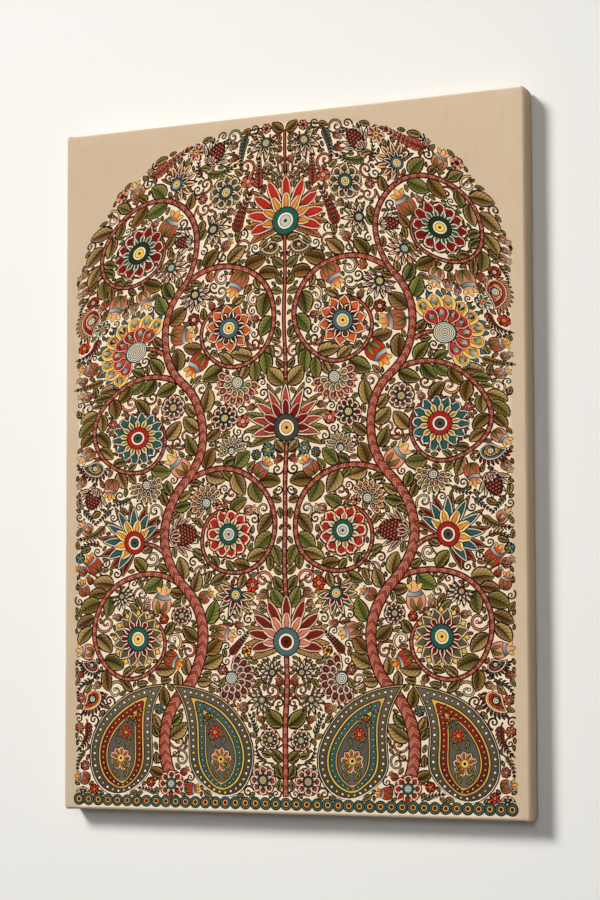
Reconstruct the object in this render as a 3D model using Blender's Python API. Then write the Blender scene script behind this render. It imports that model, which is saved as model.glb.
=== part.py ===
"""Kalamkari cloth panel stretched over a mitred wooden frame, for a wall.

One piece of cotton canvas is pulled over the front of the frame, turned over
all four sides and folded on to the back as a hem. The frame is four mitred
bars whose front faces fall away from a narrow outer lip, so that the cloth
touches the lip alone. At each corner the spare cloth is lapped on to the top
or the bottom side, as a canvas stretcher folds it.

Metres, +Z up. The front looks along -Y and the wall is the plane y = 0. The
origin is on the back of the cloth, at the middle of its top hem.
"""

import math

import bmesh
import bpy

# Driving dimensions of the panel
WIDTH = 0.500
HEIGHT = 0.700
DEPTH = 0.025
CLOTH = 0.001                # thickness of the canvas
HEM = 0.030                  # cloth turned over on to the back
CLEARANCE = 0.0003           # between the cloth and the bars, and at the mitres

# Soft edges of the stretched cloth
FRONT_ROUND = 0.0025         # radius from the front on to the sides
BACK_ROUND = 0.0015          # radius from the sides on to the hem
CORNER_ROUND = 0.0030        # radius of the four corners, seen from the front
CORNER_LEAST = 0.0005        # that radius where the cloth has turned inwards
FRONT_STEPS = 4
BACK_STEPS = 3
CORNER_STEPS = 4

# Lapped corners: each lap widens from the front corner to the back
LAP_THICKNESS = 0.0008
LAP_FRONT_REACH = 0.0034
LAP_BACK_REACH = 0.0240
LAP_STEP = 0.0007            # width of the slope at the lap's edge
LAP_ROWS = 4

# Frame bars
BAR_WIDTH = 0.040
BAR_LIP = 0.005              # flat outer strip of the front that the cloth touches
BAR_FALL = 0.003             # how far the front falls away behind the cloth
BAR_ROUND = 0.0012           # radius of the outer edges
BAR_ROUND_STEPS = 3

# Places worked out from the sizes above
TOP = HEM / 2
MIDDLE_HEIGHT = TOP - HEIGHT / 2
FRONT = -DEPTH
BAR_INSET = CLOTH + CLEARANCE
BAR_FRONT = FRONT + CLOTH + CLEARANCE
BAR_BACK = -CLOTH - CLEARANCE
TIP_CUT = 2 * BAR_ROUND      # chamfer at the tips, clear of the cloth's corner


def clear_scene():
    """Remove whatever the file holds."""
    for old in list(bpy.data.objects):
        bpy.data.objects.remove(old, do_unlink=True)


def make_material(name, colour, roughness):
    """A plain matte finish."""
    material = bpy.data.materials.new(name)
    material.use_nodes = True
    shader = material.node_tree.nodes["Principled BSDF"]
    shader.inputs["Base Color"].default_value = (*colour, 1.0)
    shader.inputs["Roughness"].default_value = roughness
    shader.inputs["Metallic"].default_value = 0.0
    return material


def add_object(name, shape, material):
    """Give a finished bmesh its name and its material."""
    bmesh.ops.recalc_face_normals(shape, faces=shape.faces)
    mesh = bpy.data.meshes.new(name)
    shape.to_mesh(mesh)
    shape.free()
    mesh.materials.append(material)
    piece = bpy.data.objects.new(name, mesh)
    bpy.context.scene.collection.objects.link(piece)
    return piece


def quarter_turn(steps):
    """Angles from 0 to 90 degrees, both ends included."""
    return [math.pi / 2 * step / steps for step in range(steps + 1)]


def cloth_ring(inset, depth, reach, lift):
    """One closed loop round the panel, as points.

    The loop is a rectangle with round corners, set in from the panel's outline
    and lying at one depth. The cloth of a lap, from each corner as far as its
    reach, is lifted off the top or the bottom side.
    """
    half_width = WIDTH / 2 - inset
    half_height = HEIGHT / 2 - inset
    radius = max(CORNER_ROUND - inset, CORNER_LEAST)
    lap_edge = WIDTH / 2 - reach
    points = []
    for corner in range(4):
        side_x = 1 if corner in (0, 3) else -1
        side_z = 1 if corner in (0, 1) else -1
        for angle in quarter_turn(CORNER_STEPS):
            turned = angle + corner * math.pi / 2
            points.append((side_x * (half_width - radius) + radius * math.cos(turned), depth,
                           side_z * (half_height - radius) + (radius + lift) * math.sin(turned)))
        if corner in (0, 2):
            for x, raised in ((lap_edge, lift), (lap_edge - LAP_STEP, 0.0),
                              (LAP_STEP - lap_edge, 0.0), (-lap_edge, lift)):
                points.append((side_z * x, depth, side_z * (half_height + raised)))
    return [(x, y, z + MIDDLE_HEIGHT) for x, y, z in points]


def cloth_rings():
    """All loops in order, from the front over the sides to the hem and back inside."""
    rings = []
    for angle in quarter_turn(FRONT_STEPS):
        rings.append(cloth_ring(FRONT_ROUND * (1 - math.sin(angle)),
                                FRONT + FRONT_ROUND * (1 - math.cos(angle)),
                                LAP_FRONT_REACH, LAP_THICKNESS * math.sin(angle)))
    side_start = FRONT + FRONT_ROUND
    side_end = -BACK_ROUND
    for row in range(1, LAP_ROWS + 1):
        along = row / LAP_ROWS
        rings.append(cloth_ring(0.0, side_start + along * (side_end - side_start),
                                LAP_FRONT_REACH + along * (LAP_BACK_REACH - LAP_FRONT_REACH),
                                LAP_THICKNESS))
    for angle in quarter_turn(BACK_STEPS)[1:]:
        rings.append(cloth_ring(BACK_ROUND * (1 - math.cos(angle)),
                                side_end + BACK_ROUND * math.sin(angle),
                                LAP_BACK_REACH, LAP_THICKNESS * math.cos(angle)))
    inner_reach = HEM + LAP_STEP
    rings.append(cloth_ring(HEM, 0.0, inner_reach, 0.0))
    rings.append(cloth_ring(HEM, -CLOTH, inner_reach, 0.0))
    for angle in reversed(quarter_turn(BACK_STEPS)):
        rings.append(cloth_ring(BACK_ROUND - (BACK_ROUND - CLOTH) * math.cos(angle),
                                side_end + (BACK_ROUND - CLOTH) * math.sin(angle),
                                LAP_BACK_REACH, 0.0))
    for angle in reversed(quarter_turn(FRONT_STEPS)):
        rings.append(cloth_ring(FRONT_ROUND - (FRONT_ROUND - CLOTH) * math.sin(angle),
                                side_start - (FRONT_ROUND - CLOTH) * math.cos(angle),
                                LAP_FRONT_REACH, 0.0))
    return rings


def build_cloth():
    """The canvas: one sheet over the front, the four sides and the back hem."""
    shape = bmesh.new()
    loops = [[shape.verts.new(point) for point in ring] for ring in cloth_rings()]
    count = len(loops[0])
    shape.faces.new(loops[0])
    for outer, inner in zip(loops, loops[1:]):
        for place in range(count):
            following = (place + 1) % count
            shape.faces.new((outer[place], inner[place], inner[following], outer[following]))
    shape.faces.new(list(reversed(loops[-1])))
    canvas = make_material("cotton canvas", (0.66, 0.52, 0.36), 0.9)
    return add_object("cloth", shape, canvas)


def bar_section():
    """Stations across a bar from its outer edge, as (inwards, front, back)."""
    stations = []
    for angle in quarter_turn(BAR_ROUND_STEPS):
        inwards = BAR_ROUND * (1 - math.cos(angle))
        fall = BAR_ROUND * (1 - math.sin(angle))
        stations.append((inwards, BAR_FRONT + fall, BAR_BACK - fall))
    stations.append((BAR_LIP, BAR_FRONT, BAR_BACK))
    stations.append((BAR_WIDTH, BAR_FRONT + BAR_FALL, BAR_BACK))
    return stations


def build_bar(name, length, distance, turn, material):
    """One bar of the frame, mitred at both ends with its tips cut off.

    length is the outer edge of the frame on this side, distance is how far
    that edge lies from the frame's middle, and turn is the side it is on.
    """
    shape = bmesh.new()
    rows = []
    for inwards, front, back in bar_section():
        end = length / 2 - max(inwards, TIP_CUT - inwards) - CLEARANCE / math.sqrt(2)
        row = []
        for along, depth in ((-end, front), (end, front), (end, back), (-end, back)):
            across = distance - inwards
            x = along * math.cos(turn) - across * math.sin(turn)
            z = along * math.sin(turn) + across * math.cos(turn)
            row.append(shape.verts.new((x, depth, z + MIDDLE_HEIGHT)))
        rows.append(row)
    shape.faces.new(rows[0])
    for outer, inner in zip(rows, rows[1:]):
        for place in range(4):
            following = (place + 1) % 4
            shape.faces.new((outer[place], outer[following], inner[following], inner[place]))
    shape.faces.new(list(reversed(rows[-1])))
    return add_object(name, shape, material)


def build_frame():
    """The four bars, all of the same section."""
    pine = make_material("planed pine", (0.62, 0.44, 0.26), 0.6)
    across = WIDTH - 2 * BAR_INSET
    upright = HEIGHT - 2 * BAR_INSET
    quarter = math.pi / 2
    build_bar("bar_top", across, upright / 2, 0.0, pine)
    build_bar("bar_left", upright, across / 2, quarter, pine)
    build_bar("bar_bottom", across, upright / 2, 2 * quarter, pine)
    build_bar("bar_right", upright, across / 2, 3 * quarter, pine)


def main():
    """Build the cloth and the frame it is stretched over."""
    clear_scene()
    build_cloth()
    build_frame()


main()
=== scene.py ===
"""Looks of the kalamkari cloth panel: printed cotton over a mitred pine frame, hung on a wall.

Metres, +Z up, the front along -Y. The print is drawn in millimetres on the front, x to the right and y up
from the middle. Its right half is drawn and mirrored, and each motif is a patch that knows its own length,
width and dyes. The patches are cut into one flat mesh, so that each triangle lies in the topmost one, and
the cloth's material inks the outlines, veins and rings from the place within the patch.
"""

import functools
import logging
import math
from dataclasses import dataclass, replace
from enum import Enum
from typing import Callable, NamedTuple, Optional, Sequence, Union

import bpy
import numpy as np
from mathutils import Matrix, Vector
from mathutils.bvhtree import BVHTree
from mathutils.geometry import delaunay_2d_cdt


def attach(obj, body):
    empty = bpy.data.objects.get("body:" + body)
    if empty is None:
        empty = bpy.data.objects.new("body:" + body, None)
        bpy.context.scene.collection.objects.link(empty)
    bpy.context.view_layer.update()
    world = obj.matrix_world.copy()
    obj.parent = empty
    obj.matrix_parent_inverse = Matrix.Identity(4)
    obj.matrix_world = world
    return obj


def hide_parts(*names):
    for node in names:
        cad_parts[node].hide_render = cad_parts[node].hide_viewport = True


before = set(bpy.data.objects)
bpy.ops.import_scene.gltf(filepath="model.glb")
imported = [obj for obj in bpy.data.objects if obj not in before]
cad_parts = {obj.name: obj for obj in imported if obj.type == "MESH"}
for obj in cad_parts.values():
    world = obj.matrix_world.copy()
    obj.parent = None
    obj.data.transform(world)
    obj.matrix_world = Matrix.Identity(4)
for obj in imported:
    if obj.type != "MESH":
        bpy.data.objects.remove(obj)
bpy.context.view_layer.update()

Array = np.ndarray
Number = Union["Wire", float]
Colour = Union["Wire", "Dye", Sequence[float]]
log = logging.getLogger("panel")

# Sizes that repeat the part's own, in metres
WIDTH = 0.500
HEIGHT = 0.700
DEPTH = 0.025
CLOTH = 0.001
HEM = 0.030
FRONT_ROUND = 0.0025
BACK_ROUND = 0.0015
CORNER_ROUND = 0.0030
CORNER_LEAST = 0.0005
LAP_THICKNESS = 0.0008
LAP_FRONT_REACH = 0.0034
LAP_BACK_REACH = 0.0240
LAP_STEP = 0.0007
MIDDLE_HEIGHT = HEM / 2 - HEIGHT / 2

STAPLE_PITCH = 0.051

# The printed field, in millimetres from the middle of the front
FIELD_HALF = 238.0
FIELD_LOW = -347.0
FIELD_TOP = 343.0
SHOULDER = 118.0
BOW = 0.2


# Node graphs

def operator(operation: str, reflected: bool = False) -> Callable:
    """Make an operator of Wire.

    Args:
        operation: the Math node that it adds.
        reflected: whether the number comes first.

    Returns:
        The method.
    """
    def apply(self: "Wire", *other: Number) -> "Wire":
        """Add the Math node."""
        return self.graph.maths(operation, *((*other, self) if reflected else (self, *other)))
    return apply


@dataclass(eq=False)
class Wire:
    """A socket in a shader expression: its operators add Math nodes."""

    graph: "Graph"
    socket: bpy.types.NodeSocket

    __add__ = __radd__ = operator("ADD")
    __mul__ = __rmul__ = operator("MULTIPLY")
    __sub__ = operator("SUBTRACT")
    __rsub__ = operator("SUBTRACT", reflected=True)
    __truediv__ = operator("DIVIDE")
    __abs__ = operator("ABSOLUTE")
    __lt__ = operator("LESS_THAN")
    __gt__ = operator("GREATER_THAN")


class Graph:
    """The nodes of one material, or of the world."""

    def __init__(self, owner: Union[str, bpy.types.World]) -> None:
        """Empty a world's nodes, or start an empty material.

        Args:
            owner: the world, or the material's name.
        """
        self.owner = bpy.data.materials.new(owner) if isinstance(owner, str) else owner
        self.owner.use_nodes = True
        self.tree = self.owner.node_tree
        self.tree.nodes.clear()

    def node(self, kind: str, inputs: dict, **settings: object) -> bpy.types.Node:
        """Add one node.

        Args:
            kind: the node's type.
            inputs: wires, numbers or tuples by socket name or place.
            settings: its properties, set first.

        Returns:
            The node.
        """
        made = self.tree.nodes.new("ShaderNode" + kind)
        for key, value in settings.items():
            setattr(made, key, value)
        for key, value in inputs.items():
            if isinstance(value, Wire):
                self.tree.links.new(value.socket, made.inputs[key])
            else:
                made.inputs[key].default_value = value
        return made

    def wire(self, kind: str, inputs: dict, output: Union[int, str] = 0, **settings: object) -> Wire:
        """Add one node and take one of its outputs."""
        return Wire(self, self.node(kind, inputs, **settings).outputs[output])

    def maths(self, operation: str, *values: Number, clamp: bool = False) -> Wire:
        """Add a Math node."""
        return self.wire("Math", dict(enumerate(values)), operation=operation, use_clamp=clamp)

    def mask(self, value: Number, soft: float = 0.14) -> Wire:
        """0 below zero and 1 above it, over a soft step."""
        return self.maths("MULTIPLY_ADD", value, 1.0 / soft, 0.5, clamp=True)

    def most(self, *values: Number) -> Wire:
        """The greatest of several."""
        return functools.reduce(lambda one, other: self.maths("MAXIMUM", one, other), values)

    def near_line(self, value: Number, pitch: float) -> Wire:
        """Distance to the nearest of a row of lines, a pitch apart."""
        return self.maths("PINGPONG", value, pitch / 2)

    def length(self, x: Wire, y: Wire) -> Wire:
        """Length of a flat vector."""
        return self.maths("SQRT", x * x + y * y)

    def blend(self, factor: Number, low: Colour, high: Colour) -> Wire:
        """Mix two colours, each a wire, a dye or 8-bit sRGB."""
        ends = [end if isinstance(end, Wire) else (*linear(end), 1.0) for end in (low, high)]
        return self.wire("Mix", {0: factor, 6: ends[0], 7: ends[1]}, 2, data_type="RGBA", clamp_factor=True)

    def dim(self, colour: Wire, factor: Number) -> Wire:
        """Scale a colour or a vector by a number."""
        return self.wire("VectorMath", {0: colour, "Scale": factor}, operation="SCALE")

    def stretch(self, vector: Wire, by: tuple) -> Wire:
        """Scale a vector along its three axes."""
        return self.wire("VectorMath", {0: vector, 1: by}, operation="MULTIPLY")

    def split(self, vector: Wire) -> tuple:
        """The three parts of a vector."""
        return tuple(Wire(self, output) for output in self.node("SeparateXYZ", {0: vector}).outputs)

    def attribute(self, name: str) -> Wire:
        """A vector that the mesh carries."""
        return self.wire("Attribute", {}, "Vector", attribute_type="GEOMETRY", attribute_name=name)

    def coordinates(self, output: str = "Object") -> Wire:
        """Texture coordinates."""
        return self.wire("TexCoord", {}, output)

    def noise(self, vector: Wire, scale: float, detail: float = 2.0, roughness: float = 0.5) -> Wire:
        """Noise about 0.5."""
        inputs = {"Vector": vector, "Scale": scale, "Detail": detail, "Roughness": roughness}
        return self.wire("TexNoise", inputs)

    def bump(self, height: Wire, distance: float, strength: float) -> Wire:
        """A normal from a height of 0 to 1 that stands for a distance."""
        return self.wire("Bump", {"Height": height, "Distance": distance, "Strength": strength})

    def finish(self, **inputs: Union[Number, tuple]) -> bpy.types.Material:
        """Close the graph with a Principled shader.

        Args:
            inputs: what goes into its sockets, with _ for a space in their names.

        Returns:
            The material.
        """
        named = {key.replace("_", " "): value for key, value in inputs.items()}
        self.node("OutputMaterial", {"Surface": self.wire("BsdfPrincipled", named)})
        return self.owner


def linear(colour: Colour) -> tuple:
    """8-bit sRGB to linear light: below 0.04045 over 12.92, above it ((c + 0.055) / 1.055) ** 2.4."""
    share = np.asarray(getattr(colour, "value", colour), float) / 255.0
    return tuple(np.where(share <= 0.04045, share / 12.92, ((share + 0.055) / 1.055) ** 2.4))


# Dyes and patterns

class Dye(Enum):
    """Colours of the print, as 8-bit sRGB."""

    INK = (26, 10, 0)
    BARK = (88, 52, 22)
    CREAM = (250, 230, 200)
    SAND = (216, 176, 108)
    STONE = (160, 126, 72)
    OLIVE = (92, 72, 18)
    SAGE = (150, 140, 66)
    MOSS = (64, 50, 12)
    FERN = (80, 96, 34)
    PINE = (34, 50, 22)
    KHAKI = (164, 120, 48)
    RUST = (158, 80, 38)
    BRICK = (172, 58, 36)
    ROSE = (212, 112, 86)
    BLUSH = (236, 168, 136)
    RED = (172, 34, 26)
    SCARLET = (220, 70, 44)
    ORANGE = (238, 140, 56)
    OCHRE = (220, 168, 92)
    GOLD = (240, 196, 80)
    MAROON = (90, 24, 18)
    PLUM = (92, 62, 62)
    TEAL = (32, 92, 82)
    SEA = (118, 142, 126)
    SLATE = (74, 106, 108)
    ICE = (188, 198, 182)
    CHARCOAL = (66, 66, 58)
    ASH = (106, 102, 90)


class Pattern(Enum):
    """What the cloth's material draws within a patch, the round ones last."""

    BARE = -1
    PLAIN = 0
    LEAF = 1
    PETAL = 2
    BUD = 3
    STEM = 4
    BERRY = 5
    EYE = 6
    SPIRAL = 7
    DOT = 8


# What lies over what, the lowest first
Layer = Enum("Layer", "TWIG FILLER LEAF STEM BUD BACK BLOOM BAND", start=0)


class Form(Enum):
    """Outlines of a blade, as the powers that shape its base and its tip."""

    LEAF = (0.58, 0.74)
    PETAL = (0.95, 0.48)
    SPEAR = (1.0, 1.0)
    DROP = (0.5, 1.25)
    TONGUE = (0.35, 0.45)


def dyes(names: str, size: int = 2) -> list:
    """Dyes by name, in groups, as a rule pairs of near and far."""
    found = [Dye[name] for name in names.split()]
    return [tuple(found[k:k + size]) for k in range(0, len(found), size)]


# Finishes

@dataclass(frozen=True)
class PrintedCanvas:
    """Cotton canvas, dyed and inked on the front and bare on the margins, sides and back."""

    margin: tuple = (214, 189, 159)  # Colour of the bare cloth
    streak: tuple = (222, 198, 168)  # Its lighter threads
    side_shade: tuple = (104, 70, 46)  # Painted shade that darkens the folded sides
    ground: tuple = (250, 229, 199)  # Colour of the bleached cloth between the motifs
    thread: float = 0.00072  # Pitch of the weave in metres

    def make(self) -> bpy.types.Material:
        """Build the material.

        Returns:
            The canvas material.
        """
        g = Graph("printed_canvas")
        flat = g.wire("UVMap", {}, uv_map="cloth_flat")
        kind = g.split(g.attribute("print_kind"))
        height, over = self.weave(g, flat)
        dyed, cover = self.dyed_patch(g, *kind)
        tone = g.noise(g.stretch(flat, (1.0, 0.35, 1.0)), 260.0, 3.0, 0.6)
        colour = g.blend(cover, self.bare_cloth(g, flat, over, kind[1]), g.dim(dyed, 0.87 + 0.26 * tone))
        # Painted shade: the colour is up to 0.08 darker in the weave's hollows than on its ridges
        return g.finish(Base_Color=g.dim(colour, 0.94 + 0.08 * height), Roughness=0.86 + 0.08 * over,
                        Normal=g.bump(height, 0.00022, 0.55), Specular_IOR_Level=0.12)

    def weave(self, g: Graph, flat: Wire) -> tuple:
        """Plain weave: each thread is a rounded ridge that dips under every second crossing.

        Args:
            g: the material's nodes.
            flat: place on the flat cloth, in metres.

        Returns:
            The height from 0 to 1, and 1 where the upright thread lies on top.
        """
        x, y, _ = g.split(g.dim(flat, 1.0 / self.thread))
        folds = [g.near_line(place, 1.0) * 2.0 for place in (x, y)]
        ridge_x, ridge_y = (fold * (2.0 - fold) for fold in folds)
        over = g.near_line(g.maths("FLOOR", x) + g.maths("FLOOR", y), 2.0)
        upright = over * (ridge_x * (0.5 + 0.5 * ridge_y))
        return upright + (1.0 - over) * (ridge_y * (0.5 + 0.5 * ridge_x)), over

    def bare_cloth(self, g: Graph, flat: Wire, over: Wire, t: Wire) -> Wire:
        """Beige with faint clouds, bleached within the arched field and faintly blotted with dye behind it.

        Args:
            g: the material's nodes.
            flat: place on the flat cloth, in metres.
            over: 1 where the upright thread lies on top.
            t: -1 behind the front.

        Returns:
            The colour, with painted shade on the sides and painted light towards the right.
        """
        slub = g.noise(g.stretch(flat, (1.0, 0.3, 1.0)), 160.0, 3.0, 0.6)
        cloud = g.noise(flat, 14.0, 3.0, 0.55) - 0.5
        x, y, _ = g.split(g.dim(flat, 1000.0))
        beige = g.blend(0.32 + 1.5 * cloud + 1.2 * (slub - 0.5), self.margin, self.streak)
        # Painted light: the bare cloth is 0.0002 a millimetre lighter to the right, besides the weave's own
        # tone
        beige = g.dim(beige, 0.99 + 0.03 * over + 0.0002 * x)
        # Painted shade: the sides, from past the front's edge to near the back, darken by up to 0.26
        out = g.most(abs(x) - WIDTH * 500, abs(y) - HEIGHT * 500)
        side = g.mask(-1000.0 * g.split(g.coordinates())[1] - 1.5, 1.5)
        beige = g.blend(0.26 * g.mask(out - 3.0, 5.0) * side, beige, self.side_shade)
        inset = SHOULDER + 5.0
        up = y / (1.0 - x * x * (BOW / FIELD_HALF ** 2)) - (FIELD_TOP - inset)
        reach = g.length(g.most(abs(x) - (FIELD_HALF - inset), 0.0), g.most(up, 0.0))
        wander = 7.0 * (g.noise(flat, 60.0, 3.0, 0.6) - 0.5)
        field = g.mask(SHOULDER - reach + wander, 5.0) * (y > FIELD_LOW - 0.6)
        soaked = g.blend(g.mask(g.noise(flat, 45.0) - 0.5, 0.3), Dye.OLIVE, Dye.RUST)
        blots = field * (t < -0.5) * g.mask(g.noise(flat, 85.0) - 0.5, 0.5) * 0.17
        bleached = field * (t > -0.5) * (0.93 + 0.24 * cloud)
        return g.blend(bleached, g.blend(blots, beige, soaked), self.ground)

    def dyed_patch(self, g: Graph, code: Wire, t: Wire, line: Wire) -> tuple:
        """Ink and dye from the place within a patch.

        The mesh carries u along and v across in millimetres, and the half-width h there. The distance to the
        edge is h - |v|, or h less the distance from the middle in a round patch.

        Args:
            g: the material's nodes.
            code: the pattern's number.
            t: share of the length.
            line: width of the ink line.

        Returns:
            The colour, and 1 where there is a patch.
        """
        u, v, h = g.split(g.attribute("print_place"))
        grit = g.noise(g.coordinates(), 650.0, 2.0, 0.6) - 0.5
        side = abs(v)
        radius = g.length(u, v)
        rounded = code > 5.5
        edge = h - (side * (1.0 - rounded) + radius * rounded) + 0.55 * grit
        line = 1.7 * line
        some = g.most(h, 0.01)
        share, aside, outward = side / some, v / some, radius / some
        is_leaf, is_petal, is_bud, is_stem, is_berry, is_eye, is_spiral = (
            g.maths("COMPARE", code, float(pattern.value), 0.2) for pattern in list(Pattern)[2:9])

        # Leaves, petals, buds and berries
        rib = g.mask(0.55 - 0.4 * t - side)
        vein = g.mask(0.2 - 0.7 * g.near_line(u - 0.95 * side, 4.4)) * (share < 0.8) * (h > 1.9)
        nerve = g.mask(0.13 - h * g.near_line(aside, 0.44))
        nerve = nerve * (t > 0.14) * (t < 0.7) * (h > 1.7) * (share < 0.62)
        stroke = g.mask(0.16 - h * g.near_line(aside + 0.2, 0.4)) * (t > 0.56) * (t < 0.84) * (share < 0.75)
        core = edge - line - 0.7 - 0.3 * h
        core_line = g.mask(0.28 - abs(core)) * (h > 2.2)
        lane = u * (1.0 / 3.2)
        shift = 0.5 * g.near_line(g.maths("FLOOR", lane), 2.0)
        bead = g.length(g.maths("FRACT", lane) - 0.5, g.maths("FRACT", v * (1.0 / 3.6) + shift) - 0.5)

        # Wrapped and hatched stems
        wide = h > 2.3
        band = g.near_line(u + 1.1 * side, 10.0)
        wrap = g.mask(2.3 - band, 0.3) * wide
        wrap_line, wrap_edge = (g.mask(width - 0.67 * abs(band - at)) * wide
                                for width, at in ((0.22, 2.4), (0.2, 3.1)))
        hatch = g.mask(0.1 - 0.7 * g.near_line(u - 0.9 * side, 1.6)) * (0.35 + 0.65 * wrap)

        # Round eyes and coils
        turn = g.maths("ARCTAN2", v, u)
        ray = g.mask(0.13 - radius * g.near_line(turn, math.pi / 10)) * (outward > 0.56)
        rings = (g.mask(0.3 - abs(edge - at * h)) for at in (0.42, 0.6))
        ring_ink = g.most(*rings, g.mask(0.12 - outward, 0.03))
        ring_cream = g.mask(0.09 - abs(1.0 - outward - 0.51), 0.02)
        coil = g.near_line(radius + turn * (1.9 / math.tau), 1.9)
        coil_cream = g.mask(0.42 - coil) * (edge > 1.4)

        ink = g.most(g.mask(line - edge), is_leaf * g.most(rib, vein), is_petal * g.most(nerve, core_line),
                     is_bud * stroke, is_berry * g.mask(bead - 0.42, 0.1),
                     is_stem * g.most(0.9 * wrap_line, 0.7 * hatch), is_eye * g.most(0.8 * ray, ring_ink))
        rim = is_leaf * g.mask(line + 0.5 - edge) * (h > 1.5)
        pale = g.most(is_petal * g.mask(line + 0.7 - edge) * (h > 1.5), is_eye * ring_cream,
                      is_spiral * coil_cream, is_stem * 0.45 * wrap_edge)
        tint = (is_leaf * g.maths("ADD", 0.75 * share + 0.25 * t - 0.2, 0.3 * (v > 0.0), clamp=True)
                + is_stem * g.maths("MULTIPLY_ADD", aside, 0.55, 0.45, clamp=True)
                + is_eye * (outward < 0.4)
                + is_berry * g.maths("MULTIPLY_ADD", bead, -2.6, 1.05, clamp=True)
                + is_petal * g.maths("ADD", 1.0 - 0.9 * (core > 0.0), 0.2 * t, clamp=True)
                + (1.0 - (is_leaf + is_stem + is_eye + is_berry + is_petal)) * t)
        colour = g.blend(tint, g.attribute("print_near"), g.attribute("print_far"))
        colour = g.dim(colour, 1.0 - 0.26 * is_leaf * (v < 0.0) * (share < 0.93))
        for cover, dye in ((is_stem * 0.4 * wrap, Dye.MAROON), (0.6 * rim, Dye.SAND), (pale, Dye.CREAM),
                           (ink * g.maths("MULTIPLY_ADD", grit, 0.5, 0.98, clamp=True), Dye.INK)):
            colour = g.blend(cover, colour, dye)
        return colour, code > -0.5


# Shapes of the print, in millimetres

def polar(centre: Sequence[float], angle: float, reach: float) -> Array:
    """Point at an angle and a distance from a centre."""
    return np.asarray(centre, float) + reach * np.array([math.cos(angle), math.sin(angle)])


def around(centre: Sequence[float], angle: Array, reach: Union[Array, float]) -> Array:
    """Points at angles and distances from a centre."""
    return np.asarray(centre) + np.stack([reach * np.cos(angle), reach * np.sin(angle)], axis=1)


def stations(count: int) -> Array:
    """Shares from 0 to 1, closer at both ends."""
    return 0.5 - 0.5 * np.cos(np.linspace(0.0, math.pi, count))


def shares(count: int) -> Array:
    """Even steps from -1 to 1."""
    return (2 * np.arange(count) - (count - 1)) / (count - 1)


def distances(path: Array) -> Array:
    """Distance along a path to each of its points."""
    return np.concatenate([[0.0], np.cumsum(np.linalg.norm(np.diff(path, axis=0), axis=1))])


def headings(path: Array) -> Array:
    """Direction of a path at each of its points."""
    return np.arctan2(*np.gradient(path, axis=0).T[::-1])


def swoop(start: Array, end: Array, bulge: float, count: int) -> Array:
    """Path that bows to its left: start + run * t + its normal * bulge * 4 * t * (1 - t).

    Args:
        start: where it starts.
        end: where it ends.
        bulge: how far it bows, as a share of its length.
        count: its points.

    Returns:
        The path.
    """
    run = end - start
    t = np.linspace(0.0, 1.0, count)[:, None]
    return start + run * t + np.array([-run[1], run[0]]) * bulge * 4 * t * (1 - t)


@dataclass(frozen=True)
class Blade:
    """A leaf or petal: an axis bent to an arc, with a width that swells and closes again.

    The half-width at t is width / 2 * t^a * (1 - t)^b over its own peak, with a and b from the form, less
    an inset. The axis has the heading at its base and turns by the bend along its length.
    """

    base: Sequence[float]
    heading: float
    length: float
    width: float
    bend: float = 0.0
    form: Form = Form.LEAF
    inset: float = 0.0

    @property
    def arc(self) -> float:
        """The bend, never quite nought."""
        return self.bend if abs(self.bend) > 1e-3 else 1e-3

    def half(self, t: Array) -> Array:
        """Half-width, the inset measured square to the edge's slope.

        Args:
            t: shares of the length.

        Returns:
            The half-widths.
        """
        a, b = self.form.value
        peak = a / (a + b)
        safe = np.clip(t, 1e-4, 1 - 1e-4)
        wide = 0.5 * self.width * safe ** a * (1 - safe) ** b / (peak ** a * (1 - peak) ** b)
        slope = wide * (a / safe - b / (1 - safe)) / self.length
        return wide - self.inset * np.sqrt(1 + slope ** 2)

    def spot(self, t: float, s: float = 0.0) -> Array:
        """Point at t along and s across, from -1 on the right edge to 1 on the left."""
        return self.points(np.array([t]), np.array([s]) * self.half(np.array([t])))[0]

    def points(self, t: Array, offset: Array) -> Array:
        """Points on the arc of radius length / bend.

        Args:
            t: shares of the length.
            offset: distances to the left.

        Returns:
            The points.
        """
        turn = self.heading + self.arc * t
        radius = self.length / self.arc
        x = self.base[0] + radius * (np.sin(turn) - math.sin(self.heading)) - offset * np.sin(turn)
        y = self.base[1] + radius * (math.cos(self.heading) - np.cos(turn)) + offset * np.cos(turn)
        return np.stack([x, y], axis=-1)

    def outline(self, count: int = 8) -> Array:
        """Closed outline, anticlockwise, between the places where the inset leaves some width.

        Args:
            count: stations along each side, ends included.

        Returns:
            The outline.
        """
        fine = stations(65)
        inside = fine[self.half(fine) > 0]
        t = inside[0] + (inside[-1] - inside[0]) * stations(count)
        half = np.maximum(self.half(t), 0.02)
        half[0] = half[-1] = 0.0
        return np.concatenate([self.points(t, -half), self.points(t, half)[-2:0:-1]])

    def place(self, at: Array) -> tuple:
        """Place of each point within the blade, from the angle and distance round the arc's centre.

        Args:
            at: the points.

        Returns:
            Distances along and to the left, half-widths and shares of the length.
        """
        radius = self.length / self.arc
        hand = math.copysign(1.0, radius)
        off = at - (np.asarray(self.base)
                    + radius * np.array([-math.sin(self.heading), math.cos(self.heading)]))
        turn = np.arctan2(hand * off[:, 0], -hand * off[:, 1]) - self.heading
        t = np.clip(((turn + math.pi) % math.tau - math.pi) / self.arc, 0.0, 1.0)
        aside = radius - hand * np.hypot(off[:, 0], off[:, 1])
        return t * self.length, aside, np.maximum(self.half(t), 0.0), t


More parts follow.
